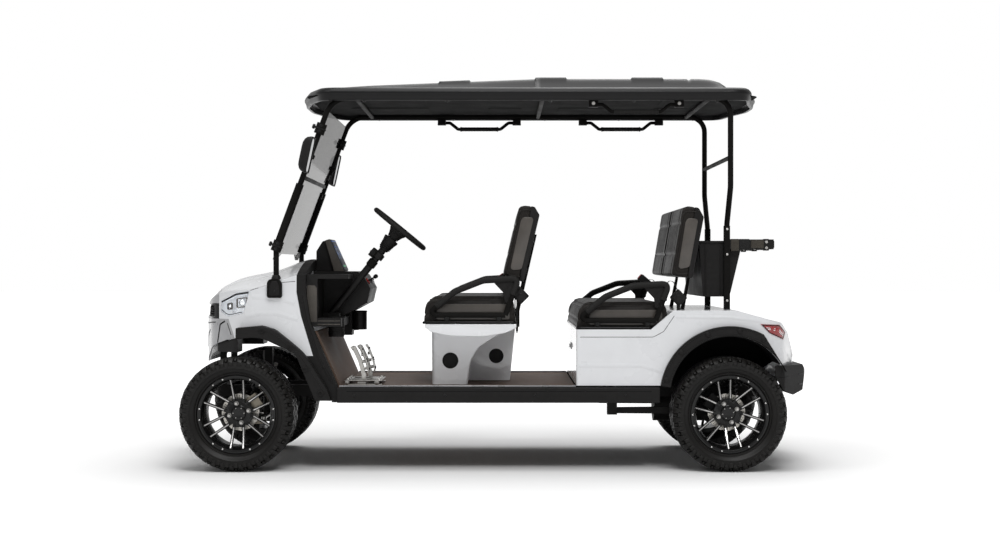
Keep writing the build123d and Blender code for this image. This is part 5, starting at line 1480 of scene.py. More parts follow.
def make_seat_pads():
    """Cushions and backrests."""
    sizes = bpy.context.scene.cart_sizes
    for name, node in (("Front_Cushion", "front_seat_cushion"), ("Rear_Cushion", "rear_seat_cushion")):
        seat_cushion(name, node, *CUSHION_BOXES[name], sizes)
    for name, node in (("Front_Back", "front_backrests"), ("Rear_Back", "rear_backrests")):
        for hand, side in HANDS:
            seat_back(f"{name}_{side}", node, BACK_VIEWS[name], hand, sizes)
        back_shells(name, BACK_VIEWS[name], sizes)


# ------------------------------------------------------------- driving controls
WHEEL_AT = Vector((-0.493, -0.300, 1.219))
COLUMN_RISE = radians(50.9)
AIM = Vector((cos(COLUMN_RISE), 0, sin(COLUMN_RISE)))
RIM_R = 0.155
COLUMN_FRAME = frame_of(Vector(ALONG_Y), Vector((-sin(COLUMN_RISE), 0, cos(COLUMN_RISE))), AIM, WHEEL_AT)


def make_steering_wheel():
    """Rim with finger ridges inside its lower half, spokes and hub."""
    rim, pad, trim = solids(3)
    rim.sweep([(x, y, 0) for x, y in ring(RIM_R, 96)], ring(0.0142, 18, 0.0128), closed=True, up=UP)
    for k in range(28):
        a = pi + pi * (k + 0.5) / 28
        at = Vector(((RIM_R - 0.0118) * cos(a), (RIM_R - 0.0118) * sin(a), -0.002))
        rim.rod(at - Vector((0, 0, 0.007)), at + Vector((0, 0, 0.007)), 0.0038, 10, 0.003)
    arm = rounded2([(0.030, -0.020), (0.090, -0.012), (RIM_R - 0.004, -0.015), (RIM_R - 0.004, 0.015),
                    (0.090, 0.012), (0.030, 0.020)], [0.004, 0.05, 0.004, 0.004, 0.05, 0.004])
    inlay = rounded2([(0.058, -0.0065), (0.128, -0.005), (0.128, 0.005), (0.058, 0.0065)], [0.003] * 4)
    for angle in (4, 176, 270):
        turn = Matrix.Rotation(radians(angle), 4, "Z")
        pad.prism(arm, "z", -0.013, -0.004, 0.003, 2, turn)
        trim.prism(inlay, "z", -0.0045, -0.0028, 0.0008, 1, turn)
    pad.lathe([(0.030, -0.061), (0.032, -0.052), (0.041, -0.030), (0.047, -0.022), (0.049, -0.012),
               (0.047, -0.002), (0.040, 0.005), (0.022, 0.0085), (0, 0.009)], ORIGIN, UP, 48)
    trim.lathe([(0.0385, 0.0048), (0.0400, 0.0066), (0.0418, 0.0050), (0.0400, 0.0030)], ORIGIN, UP,
               48, closed=True)
    for shape in (rim, pad, trim):
        shape.moved(COLUMN_FRAME)
    rim.place("Steering_Rim", "Grip Rubber", "steering_wheel", ["steering_wheel"], "wheel_grip", 50)
    pad.place("Steering_Spokes", "Soft Plastic", "steering_wheel", slot="wheel_grip", smooth=45)
    trim.place("Steering_Trim", "Silver Trim", "steering_wheel", slot="wheel_grip", smooth=45)


def make_column():
    """Shroud and joint of the steering column."""
    shroud, joint, bolts = solids(3)
    shroud.lathe([(0.0275, -0.0655), (0.040, -0.067), (0.041, -0.074), (0.036, -0.092), (0.030, -0.122),
                  (0.0245, -0.138), (0.0200, -0.140)], ORIGIN, UP, 40)
    for k in range(3):
        r, z = 0.0335 - k * 0.0014, -0.103 - k * 0.010
        shroud.lathe([(r, z), (r + 0.002, z - 0.0025), (r, z - 0.005), (r - 0.004, z - 0.0025)], ORIGIN,
                     UP, 36, closed=True)
    joint.block(-0.024, 0.024, -0.026, 0.034, -0.190, -0.160, 0.004)
    for side in (-1, 1):
        joint.block(side * 0.017, side * 0.031, 0.014, 0.044, -0.206, -0.158, 0.003)
        bolts.bolt((side * 0.031, 0.033, -0.182), (side, 0, 0), 0.009, 0.010)
    joint.lathe([(0.0195, -0.250), (0.0245, -0.246), (0.0245, -0.212), (0.0195, -0.208)], ORIGIN, UP, 32)
    bolts.rod((-0.032, 0.033, -0.182), (0.032, 0.033, -0.182), 0.0055, 16, 0.001)
    for shape in (shroud, joint, bolts):
        shape.moved(COLUMN_FRAME)
    shroud.place("Column_Shroud", "Soft Plastic", slot="black_steel")
    joint.place("Column_Joint", "Coated Steel", slot="black_steel")
    bolts.place("Column_Bolts", "Black Bolt", slot="black_steel")


SCREEN_FOOT, SCREEN_TOP = Vector((-0.796, 0, 0.9995)), Vector((-0.873, 0, 1.170))
SCREEN_UP = (SCREEN_TOP - SCREEN_FOOT).normalized()
SCREEN_FRAME = frame_of(Vector(ALONG_Y), SCREEN_UP, Vector((SCREEN_UP.z, 0, -SCREEN_UP.x)), SCREEN_FOOT)


def make_display():
    """Wedge pod, pale bezel and a screen with plain dials and bars."""
    base = SCREEN_FOOT.z
    pod, bezel, glass = solids(3)
    pod.prism(rounded2([(-0.947, base), (-0.840, base), (-0.8985, 1.162), (-0.914, 1.158), (-0.947, 1.106)],
                       [0.004, 0.004, 0.004, 0.012, 0.016]), "y", -0.108, 0.108, 0.006, 3)
    bezel.prism(rounded2([(-0.851, base), (-0.797, base), (-0.874, 1.170), (-0.8985, 1.163)],
                         [0.002, 0.006, 0.006, 0.004]), "y", -0.130, 0.130, 0.004, 3)
    pod.place("Display_Pod", "Soft Plastic", stands_for=["display"], slot="screen")
    bezel.place("Display_Bezel", "Grey Plastic", slot="screen")
    glass.block(-0.122, 0.122, 0.008, 0.182, -0.001, 0.0018, 0.0012)
    marks = {f"Screen {tint}": Solid() for tint in ("Blue", "White", "Green")}
    for y in (-0.062, 0.062):
        r = 0.042
        for k in range(28):
            a = radians(-40 + k * 260 / 27)
            shape = marks["Screen Blue" if k < 17 else "Screen White"]
            turn = Matrix.Rotation(a - pi / 2, 4, "Z")
            x0, y0 = y + r * cos(a), 0.102 + r * sin(a)
            shape.block(x0 - 0.0012, x0 + 0.0012, y0 - 0.0042, y0 + 0.0042, 0.0014, 0.0022, 0.0002, 1, turn)
        marks["Screen White"].lathe([(0.0260, 0), (0.0273, 0.0005), (0.0286, 0), (0.0273, -0.0004)],
                                    (y, 0.102, 0.0018), UP, 40, closed=True)
        marks["Screen Blue"].block(y - 0.010, y + 0.010, 0.093, 0.111, 0.0014, 0.0022, 0.002)
    for k in range(8):
        marks["Screen Green"].block(k * 0.0185 - 0.072, k * 0.0185 - 0.058, 0.024, 0.036, 0.0014, 0.0022,
                                    0.0008)
    for k in range(3):
        marks["Screen White"].block(-0.012, 0.012, 0.132 + k * 0.012, 0.137 + k * 0.012, 0.0014, 0.0022,
                                    0.0008)
    marks["Screen Blue"].block(-0.116, 0.116, 0.172, 0.177, 0.0014, 0.0022, 0.0008)
    glass.moved(SCREEN_FRAME).place("Screen_Glass", "Screen Dark", slot="screen")
    for material, shape in marks.items():
        shape.moved(SCREEN_FRAME).place(material.replace(" ", "_") + "_Marks", material, slot="screen")


CUP_RIM = [(0.0352, 0.0), (0.0362, 0.0035), (0.0400, 0.0045), (0.0430, 0.0025), (0.0435, -0.001),
           (0.0352, -0.004)]
CUP_RIB = [(0.0395, 0), (0.0414, 0.0015), (0.0414, 0.0055), (0.0395, 0.007)]
CONSOLE_FACE = Vector((0.874, 0, 0.487))    # way the console's upper rear face looks


def make_dash_details():
    """Side panels, shelf ribs, cup rims, switches and selector of the dashboard."""
    panels, ribs, rims, lip, knob, switches = solids(6)
    view = rounded2([(-0.945, 0.745), (-0.896, 0.745), (-0.896, 0.916), (-0.908, 0.930), (-0.945, 0.930)],
                    [0.004, 0.006, 0.010, 0.010, 0.004])
    for hand in SIDES:
        panels.prism(view, "y", hand * 0.5440, hand * 0.5475, 0.0012, 2)
        for z in (0.731, 0.748):
            panels.block(-0.893, -0.779, hand * 0.5440, hand * 0.5468, z, z + 0.0045, 0.001, 1)
        for k in range(9):
            x = k * 0.0125 - 0.886
            inner = 0.492 if abs(x + 0.808) < 0.052 else 0.372
            ribs.block(x, x + 0.005, hand * inner, hand * 0.534, 0.7635, 0.7668, 0.001, 1)
        rims.lathe(CUP_RIM, (-0.808, hand * 0.440, 0.7643), UP, 40, closed=True)
        for k in range(4):
            rims.lathe(CUP_RIB, (-0.808, hand * 0.440, 0.678 + k * 0.011), UP, 40, closed=True)
    rims.lathe(CUP_RIM, (-0.728, 0, 0.7843), UP, 40, closed=True)
    at = Vector((-0.6715, -0.160, 0.947))
    lip.lathe([(0.0165, -0.003), (0.0188, 0.001), (0.0184, 0.006), (0.0145, 0.0075), (0.0130, 0.001)], at,
              CONSOLE_FACE, 36, closed=True)
    knob.lathe([(0.0140, -0.002), (0.0140, 0.003), (0.0085, 0.0045), (0, 0.0045)], at, CONSOLE_FACE, 30)
    tip = at + Vector((0.040, 0, 0.024))
    knob.rod(at, tip, 0.0042, 14)
    knob.lathe([(0, -0.010), (0.007, -0.009), (0.0105, -0.003), (0.0115, 0.005), (0.0095, 0.012),
                (0.004, 0.0155), (0, 0.0158)], tip, (0.85, 0, 0.52), 28)
    for y in (-0.095, -0.060):
        switches.lathe([(0.0115, -0.002), (0.0125, 0.001), (0.0120, 0.0045), (0.0095, 0.0055),
                        (0.0090, 0.002), (0, 0.002)], (at.x, y, at.z), CONSOLE_FACE, 30)
    tilt = Matrix.Rotation(radians(-29.1), 4, "Y")
    for y in (0.060, 0.100, 0.140, 0.180):
        switches.block(at.x - 0.004, at.x + 0.0055, y - 0.013, y + 0.013, 0.932, 0.962, 0.003, 2, tilt)
        switches.block(at.x + 0.003, at.x + 0.0075, y - 0.010, y + 0.010, 0.949, 0.960, 0.002, 2, tilt)
    panels.place("Dash_Side_Panels", "Grey Plastic")
    ribs.place("Shelf_Ribs", "Soft Plastic")
    rims.place("Cup_Rims", "Soft Plastic")
    lip.place("Selector_Ring", "Red Plastic")
    knob.place("Selector_Knob", "Gloss Black")
    switches.place("Dash_Switches", "Gloss Black")


PEDALS = [(-0.410, 0.060, 0.0), (-0.270, 0.090, 0.022)]     # y, width, shift along x
PAD_CURVE = [(-0.692, 0.621), (-0.678, 0.600), (-0.656, 0.545), (-0.645, 0.497), (-0.650, 0.482)]
ARM_CURVE = [(-0.668, 0.430), (-0.672, 0.480), (-0.690, 0.545), (-0.712, 0.592), (-0.722, 0.612),
             (-0.733, 0.604)]


def make_pedals():
    """Two hooked alloy pedals on a base plate with cut-outs."""
    plate, arms, grips, bolts = solids(4)
    low, high = 0.4218, 0.449
    for y in (-0.474, -0.206):
        plate.block(-0.764, -0.573, y - 0.006, y + 0.006, high - 0.006, high, 0.002)
        plate.block(-0.764, -0.573, y - 0.006, y + 0.006, low, low + 0.007, 0.002)
        for x in (-0.752, -0.600):
            plate.rod((x, y - 0.006, 0.4355), (x, y + 0.006, 0.4355), 0.0125, 24, 0.002)
    for x0, x1 in ((-0.764, -0.730), (-0.640, -0.573)):
        plate.block(x0, x1, -0.478, -0.202, high - 0.005, high, 0.002)
    for y0, y1 in ((-0.470, -0.440), (-0.380, -0.330), (-0.240, -0.210)):
        plate.block(-0.735, -0.635, y0, y1, high - 0.005, high, 0.002)
    plate.block(-0.700, -0.655, -0.470, -0.210, low, high - 0.006, 0.004)
    for y, width, shift in PEDALS:
        pad = rounded([(x + shift, y, z) for x, z in PAD_CURVE], [0.05, 0.08, 0.02])
        flat = [(-width / 2, -0.0022), (width / 2, -0.0022), (width / 2, 0.0022), (-width / 2, 0.0022)]
        arms.sweep(pad, flat, up=ALONG_X)
        for side in (-1, 1):
            at = y + side * 0.013
            arm = rounded([(x + shift, at, z) for x, z in ARM_CURVE], [0.06, 0.1, 0.02, 0.006])
            arms.sweep(arm, [(-0.003, -0.010), (0.003, -0.010), (0.003, 0.010), (-0.003, 0.010)], up=ALONG_X)
            bolts.bolt((-0.668 + shift, at + side * 0.003, 0.470), (0, side, 0), 0.007, 0.006)
        for z in (0.505, 0.540, 0.575):
            arms.rod((-0.684 + shift, y, z), (-0.655 + shift + (0.51 - z) * 0.3, y, z), 0.008, 14)
        for k in range(7):
            spot = pad[2 + k * (len(pad) - 4) // 7]
            grips.block(spot.x + 0.0005, spot.x + 0.0050, y - width * 0.38, y + width * 0.38, spot.z,
                        spot.z + 0.005, 0.0015, 1)
    for x in (-0.748, -0.590):
        for y in (-0.440, -0.340, -0.240):
            bolts.bolt((x, y, high), UP, 0.0075, 0.007)
    plate.place("Pedal_Base", "Pedal Alloy", stands_for=["pedals"], slot="pedal_alloy")
    arms.place("Pedal_Arms", "Pedal Alloy", slot="pedal_alloy", smooth=50)
    grips.place("Pedal_Grips", "Grip Rubber", slot="pedal_alloy")
    bolts.place("Pedal_Bolts", "Zinc Bolt", slot="pedal_alloy")


# ------------------------------------------------------------------- seat bases
def tower(shape, levels, half, corner, rear_corner):
    """Upright form from (z, x front, x rear) levels, its plan a rectangle with rounded corners."""
    bends = [corner, rear_corner, rear_corner, corner]
    shape.loft([[(x, y, z) for x, y in rounded2([(x0, -half), (x1, -half), (x1, half), (x0, half)], bends)]
                for z, x0, x1 in levels])


def grille_disc(disc, dots, at, normal, radius):
    """Round speaker grille with rings of raised dots."""
    at, normal = Vector(at), Vector(normal)
    disc.lathe([(radius, -0.002), (radius * 1.04, 0.0012), (radius * 0.97, 0.0036), (radius * 0.92, 0.0016),
                (radius * 0.5, 0.0030), (0, 0.0036)], at, normal, 48)
    for row in range(1, 6):
        r = radius * row * 0.155
        for k in range(row * 7):
            a = 2 * pi * (k + row * 0.5) / (row * 7)
            spot = at + Vector((r * cos(a), 0, r * sin(a))) + normal * 0.0022
            dots.lathe([(0.0018, 0.0), (0.0015, 0.0014), (0, 0.0017)], spot, normal, 8)


RIM_SECTION = [(0.006, 0.0002), (-0.003, 0.0002), (-0.0045, 0.003), (-0.0045, 0.009), (-0.002, 0.012),
               (0.006, 0.012)]


def make_seat_bases():
    """Bowed seat pan on a flaring front box and a narrow spine, with its speakers and dark rims."""
    base, rim, discs, dots = solids(4)
    base.prism(rounded2([(-0.350, 0.737), (0.107, 0.737), (0.107, 0.717), (0.052, 0.692), (-0.058, 0.674),
                         (-0.230, 0.678), (-0.318, 0.696), (-0.350, 0.721)],
                        [0.005, 0.005, 0.008, 0.060, 0.200, 0.200, 0.040, 0.008]), "y", -0.600, 0.600,
               0.005, 3)
    flare = rounded([(-0.141, 0, 0.4215), (-0.124, 0, 0.542), (-0.082, 0, 0.612), (-0.014, 0, 0.655),
                     (0.054, 0, 0.695)], [0.080, 0.090, 0.090])
    tower(base, [(p.z, -0.323 - 0.010 * (p.z - 0.4215), p.x) for p in flare], 0.398, 0.034, 0.012)
    base.prism(rounded2([(-0.150, 0.4215), (0.077, 0.4215), (0.105, 0.700), (-0.150, 0.700)],
                        [0.002, 0.006, 0.006, 0.002]), "y", -0.090, 0.090, 0.010, 3)
    for x0, x1, y, z in ((-0.3590, 0.1050, 0.5975, 0.7372), (0.4100, 0.7860, 0.5990, 0.7102)):
        path = rounded([(x0, -y, z), (x1, -y, z), (x1, y, z), (x0, y, z)], 0.020, closed=True)
        rim.sweep(path, RIM_SECTION, closed=True, up=UP)
    for hand in SIDES:
        grille_disc(discs, dots, (-0.229, hand * 0.398, 0.5435), (0, hand, 0), 0.0395)
        grille_disc(discs, dots, (0.0048, hand * 0.090, 0.551), (0, hand, 0), 0.0375)
    # seat base colour set lighter to lift the shade under the seat pan: partly painted light
    base.place("Seat_Base", "Seat Base Plastic", stands_for=["front_seat_base"], slot="white_body", smooth=50)
    rim.place("Seat_Rims", "Gloss Black")
    discs.place("Speaker_Grilles", "Soft Plastic")
    dots.place("Speaker_Dots", "Gloss Black")


ARM_Y = 0.592
ARM_STEPS = [(0.0, 0.0), (0.752, -0.027)]       # the rear armrests repeat the front ones, moved


def make_armrests():
    """Grips over the armrest tubes, webs in their rear corners, feet and bolts."""
    sizes = bpy.context.scene.cart_sizes
    grips, webs, bolts = solids(3)
    web = rounded2([(-0.012, 0.950), (0.108, 0.960), (0.070, 0.838), (0.048, 0.848), (0.043, 0.892)],
                   [0.004, 0.020, 0.008, 0.006, 0.012])
    inlay = rounded2([(0.052, 0.905), (0.092, 0.942), (0.078, 0.876), (0.060, 0.862)], [0.008] * 4)
    for dx, dz in ARM_STEPS:
        for hand in SIDES:
            y = hand * ARM_Y
            over = [(-0.290, 0.826), (-0.200, 0.900), (-0.060, 0.955), (0.118, 0.965), (0.090, 0.887)]
            run = rounded([(x + dx, y, z + dz) for x, z in over], [0.070, 0.090, 0.028])
            grips.sweep(run, ring(0.0163, 18), up=(0, hand, 0))
            for at, to in ((run[0], run[1]), (run[-1], run[-2])):
                grips.lathe([(0.0140, -0.005), (0.0180, -0.004), (0.0180, 0.006), (0.0150, 0.008)], at,
                            to - at, 24)
            webs.prism([(x + dx, z + dz) for x, z in web], "y", y - 0.0045, y + 0.0045, 0.002, 2)
            webs.prism([(x + dx, z + dz) for x, z in inlay], "y", y + hand * 0.004, y + hand * 0.0075,
                       0.0015, 2)
            for x in (-0.240, 0.020 if dz == 0 else 0.010):
                bolts.bolt((x + dx, hand * (ARM_Y + 0.008), 0.7655 + dz), (0, hand, 0), sizes.bolt_head,
                           0.008)
            for x, z in ((0.068, 0.852), (0.004, 0.947)):
                bolts.button((x + dx, y + hand * 0.0045, z + dz), (0, hand, 0), 0.0058, 0.0035)
    grips.place("Armrest_Grips", "Grip Rubber", slot="black_steel", smooth=50)
    webs.place("Armrest_Webs", "Soft Plastic")
    bolts.place("Armrest_Bolts", "Black Bolt", slot="black_steel")


BUCKLES = [(0.062, 0.935, -36), (0.815, 0.935, -50)]    # x, z of a stalk's end, lean in degrees
REELS = [(0.128, 0.878), (0.922, 0.868)]


def make_belts():
    """Buckles with red buttons, reels turned on their corners, and short stowed lengths of webbing."""
    covers, red, plates, straps = solids(4)
    for hand in SIDES:
        y = hand * 0.012
        for x, z, lean in BUCKLES:
            turn = Matrix.Rotation(radians(lean), 4, "Y")
            covers.block(x - 0.0195, x + 0.0195, y - 0.0092, y + 0.0092, z - 0.010, z + 0.054, 0.006, 3,
                         turn, (x, y, z))
            covers.block(x - 0.012, x + 0.012, y - 0.007, y + 0.007, z - 0.030, z - 0.008, 0.004, 2, turn,
                         (x, y, z))
            red.block(x - 0.014, x + 0.014, y - 0.0070, y + 0.0070, z + 0.052, z + 0.0585, 0.002, 2, turn,
                      (x, y, z))
        for x, z in REELS:
            y = hand * 0.548
            turn = Matrix.Rotation(radians(45), 4, "Y")
            covers.block(x - 0.033, x + 0.033, y - 0.0155, y + 0.0155, z - 0.031, z + 0.031, 0.007, 3, turn,
                         (x, y, z))
            plates.block(x - 0.024, x + 0.024, y + hand * 0.014, y + hand * 0.0175, z - 0.022, z + 0.022,
                         0.0015, 1, turn, (x, y, z))
            plates.lathe([(0.013, 0), (0.014, 0.0015), (0.011, 0.003), (0.005, 0.0034), (0, 0.0034)],
                         (x, y + hand * 0.0172, z), (0, hand, 0), 28)
            foot = Vector((x - 0.004, y, z + 0.034))
            turns = [foot, foot + Vector((-0.020, 0, 0.046)), foot + Vector((-0.046, 0, 0.052)),
                     foot + Vector((-0.058, 0, 0.018))]
            straps.sweep(rounded(turns, [0.02, 0.02]), [(-0.018, -0.0009), (0.018, -0.0009), (0.018, 0.0009),
                                                        (-0.018, 0.0009)], up=ALONG_X)
    covers.place("Belt_Covers", "Soft Plastic")
    red.place("Belt_Buttons", "Red Plastic")
    plates.place("Belt_Plates", "Seat Shell")
    straps.place("Belt_Webbing", "Webbing")


# ------------------------------------------------------ windshield and mirrors
STRUT_KNEE = (-1.102, 1.112)        # x, z
STRUT_LEAN = 0.3686                 # how far the strut leans back for each metre up
POST_Y = 0.535
LEAN_TURN = Matrix.Rotation(atan(STRUT_LEAN), 4, "Y")
LEAN_OUT = Vector((-1.0, 0, STRUT_LEAN)).normalized()


def strut_x(z):
    """Where the strut stands at a height."""
    return STRUT_KNEE[0] + (z - STRUT_KNEE[1]) * STRUT_LEAN


def make_windshield_details():
    """Fold strip and catches of the windshield, clamps and boots of its struts."""
    strip, clamps, bolts, boots = solids(4)
    x = strut_x(1.475)
    strip.block(x - 0.0050, x + 0.0050, -0.506, 0.506, 1.464, 1.486, 0.003, 2, LEAN_TURN)
    for z in (1.469, 1.475, 1.481):
        strip.block(strut_x(z) - 0.0058, strut_x(z) + 0.0058, -0.500, 0.500, z - 0.001, z + 0.001, 0.0008,
                    1, LEAN_TURN)
    for hand in SIDES:
        for z in (1.127, 1.718):
            at = Vector((strut_x(z), hand * POST_Y, z))
            across = Vector((0, hand, 0))
            for dz in (-0.014, 0.014):
                spot = at + Vector((strut_x(z + dz) - at.x, 0, dz))
                bolts.bolt(spot + across * 0.0255, across, 0.0062, 0.008)
            clamps.lathe([(0.0255, -0.004), (0.0290, -0.003), (0.0290, 0.003), (0.0255, 0.004)], at,
                         (STRUT_LEAN, 0, 1), 32, closed=True)
            knob = at + LEAN_OUT * 0.024
            clamps.rod(knob, knob + LEAN_OUT * 0.008, 0.0055, 16, 0.001)
            clamps.lathe([(0.008, 0), (0.0125, 0.002), (0.0130, 0.010), (0.010, 0.014), (0, 0.015)],
                         knob + LEAN_OUT * 0.005, LEAN_OUT, 10)
        for z in (1.420, 1.528):
            x = strut_x(z)
            y = hand * 0.497
            clamps.block(x - 0.010, x + 0.010, y - 0.013, y + 0.013, z - 0.016, z + 0.016, 0.004, 2,
                         LEAN_TURN)
            bolts.button(Vector((x, y, z)) + LEAN_OUT * 0.009, LEAN_OUT, 0.0055, 0.003)
        at = Vector((STRUT_KNEE[0], hand * POST_Y, 0.962))
        boots.lathe([(0.0145, 0.020), (0.0190, 0.018), (0.0235, 0.004), (0.0260, -0.004), (0.0145, -0.004)],
                    at, UP, 32)
        view = rounded2([(-1.130, 0.878), (-1.075, 0.878), (-1.078, 0.925), (-1.089, 0.952), (-1.115, 0.952),
                         (-1.127, 0.925)], [0.010, 0.010, 0.02, 0.008, 0.008, 0.02])
        boots.prism(view, "y", hand * 0.600, hand * 0.6065, 0.0030, 3)
        bolts.button((-1.102, hand * 0.6060, 0.898), (0, hand, 0), 0.0062, 0.003)
    strip.place("Windshield_Fold", "Soft Plastic")
    clamps.place("Strut_Clamps", "Soft Plastic")
    boots.place("Strut_Boots", "Soft Plastic", smooth=50)
    bolts.place("Strut_Bolts", "Black Bolt", slot="black_steel")


MIRROR_AT = (-0.9355, 0.665, 1.580)     # x, |y|, z of the head
MIRROR_STEPS = [(-0.026, 0.50), (-0.024, 0.66), (-0.017, 0.82), (-0.006, 0.93), (0.010, 0.99), (0.022, 1.0),
                (0.024, 0.985), (0.024, 0.93), (0.019, 0.915)]      # depth, share of the outline


def make_mirrors():
    """Domed mirror heads on ball-jointed arms."""
    shell, glass, arms = solids(3)
    flat = rounded2([(-0.074, -0.0915), (0.074, -0.0915), (0.074, 0.0915), (-0.074, 0.0915)], [0.035] * 4)
    lean = Matrix.Rotation(radians(12), 4, "Y")
    for hand in SIDES:
        place = Matrix.Translation((MIRROR_AT[0], hand * MIRROR_AT[1], MIRROR_AT[2])) @ lean
        outlines = [[place @ Vector((depth, y * share, z * share)) for y, z in flat]
                    for depth, share in MIRROR_STEPS]
        shell.loft(outlines)
        face = [[place @ Vector((depth, y * share, z * share)) for y, z in flat]
                for depth, share in ((0.0185, 0.905), (0.0202, 0.90))]
        glass.loft(face)
        z = MIRROR_AT[2]
        x = strut_x(z)
        arms.rod((x, hand * 0.551, z), (x, hand * 0.602, z), 0.0105, 24, 0.002)
        arms.lathe([(0.011, -0.004), (0.0165, -0.001), (0.0185, 0.005), (0.0165, 0.011), (0.011, 0.014)],
                   (x, hand * 0.582, z), (0, hand, 0), 28)
        arms.lathe([(0.0145, -0.012), (0.0220, -0.010), (0.0220, 0.010), (0.0145, 0.012)],
                   (x, hand * POST_Y, z), (STRUT_LEAN, 0, 1), 28)
        arms.bolt((x - 0.0205, hand * 0.545, z), (-1, 0, 0), 0.0055, 0.006)
    shell.place("Mirror_Shells", "Soft Plastic", stands_for=["mirrors"], smooth=50)
    glass.place("Mirror_Faces", "Mirror Glass")
    arms.place("Mirror_Arms", "Coated Steel", slot="black_steel")


# -------------------------------------------------------------- roof and handles
CANOPY_PLAN = [(-1.007, -0.140), (-0.957, -0.390), (-0.877, -0.600), (1.282, -0.600), (1.323, -0.340),
               (1.375, -0.110)]
CANOPY_BENDS = [0.50, 0.25, 0.12, 0.11, 0.09, 0.40]
CANOPY_RIM = [  # (inset from the plan's edge, z) from the deck's underside round the rim to its top
    (0.0262, 1.8863), (0.0260, 1.8582), (0.0225, 1.8570), (0.0135, 1.8572), (0.0110, 1.8600),
    (0.0078, 1.8740), (0.0044, 1.8835), (0.0008, 1.8880), (0.0, 1.8920), (0.0, 1.8975), (0.0015, 1.9025),
    (0.0060, 1.9100), (0.0130, 1.9170), (0.0230, 1.9215), (0.0360, 1.9230), (0.0450, 1.9222),
    (0.0540, 1.9202), (0.0630, 1.9222), (0.0740, 1.9230)]
CROWN_RISE = [(-0.900, 0.0), (-0.868, 0.011), (-0.807, 0.0185), (-0.632, 0.0297), (0.230, 0.0635),
              (1.049, 0.0635), (1.105, 0.0590), (1.150, 0.0450), (1.185, 0.0200),
              (1.205, 0.0)]     # x, height above the deck
CROWN_HALF = 0.470
CANOPY_RIBS = [(-0.291, -0.125), (0.202, 0.368), (0.695, 0.863)]
CROWN_NOTCH = 0.992


def ease(t):
    t = max(0.0, min(1.0, t))
    return t * t * (3 - 2 * t)


def crown_height(x, y):
    """Height of the canopy's raised middle above its deck, with its ribs and rear notch."""
    rise = lookup(CROWN_RISE, x) * ease((CROWN_HALF - abs(y)) / 0.085)
    across = ease((0.412 - abs(y)) / 0.014)
    for x0, x1 in CANOPY_RIBS:
        rise += 0.0085 * across * ease((x - x0) / 0.006) * ease((x1 - x) / 0.006)
    return rise - 0.007 * dip(x - CROWN_NOTCH, 0.012) * across


def make_roof_details():
    """Canopy with its rolled rim and raised middle, liner and bolts under it."""
    shell, crown, liner, bolts = solids(4)
    plan = CANOPY_PLAN + [(x, -y) for x, y in reversed(CANOPY_PLAN)]
    edge = [Vector(p) for p in rounded2(plan, CANOPY_BENDS + CANOPY_BENDS[::-1])]
    outward = []
    for i, p in enumerate(edge):
        along = (edge[(i + 1) % len(edge)] - edge[i - 1]).normalized()
        outward.append(Vector((along.y, -along.x)))
    shell.loft([[(*(p - out * inset), z) for p, out in zip(edge, outward)] for inset, z in CANOPY_RIM])
    xs = [-0.900 + 0.0277 * k for k in range(77)]
    xs += [x + step for ends in CANOPY_RIBS for x in ends for step in (-0.006, -0.003, 0.0, 0.003, 0.006)]
    xs = sorted(xs + [CROWN_NOTCH + step for step in (-0.012, -0.006, 0.0, 0.006, 0.012)])
    half = [0.470, 0.455, 0.440, 0.425, 0.412, 0.405, 0.398, 0.385, 0.340, 0.270, 0.180, 0.090]
    ys = [-y for y in half] + [0.0] + half[::-1]
    rows = [[(x, y, 1.9218 + crown_height(x, y)) for y in ys] for x in xs]
    crown.loft([[(x, ys[0], 1.917), *row, (x, ys[-1], 1.917)] for x, row in zip(xs, rows)])
    view = rounded2([(-0.955, -0.500), (-0.860, -0.570), (1.260, -0.570), (1.330, -0.480), (1.330, 0.480),
                     (1.260, 0.570), (-0.860, 0.570), (-0.955, 0.500)],
                    [0.10, 0.12, 0.10, 0.10, 0.10, 0.10, 0.12, 0.10])
    liner.prism(view, "z", 1.8822, 1.8866, 0.001, 1)
    for x0, x1 in ((-0.78, -0.36), (-0.04, 0.14), (0.34, 0.62), (0.86, 1.04)):
        for y in (-0.255, 0.255):
            panel = rounded2([(x0, y - 0.175), (x1, y - 0.175), (x1, y + 0.175), (x0, y + 0.175)], [0.03] * 4)
            liner.prism(panel, "z", 1.8795, 1.8830, 0.0015, 1)
    for x in (-0.70, -0.28, 0.24, 0.66, 1.08):
        for hand in SIDES:
            bolts.bolt((x + 0.04, hand * POST_Y, 1.8585), (0, 0, -1), 0.0060, 0.006)
    shell.place("Canopy_Shell", "Roof Gloss", stands_for=["roof_canopy"], slot="roof_gloss", smooth=55)
    crown.place("Canopy_Crown", "Roof Gloss", slot="roof_gloss", smooth=55)
    liner.place("Canopy_Liner", "Liner Plastic")
    bolts.place("Canopy_Bolts", "Black Bolt", slot="black_steel")


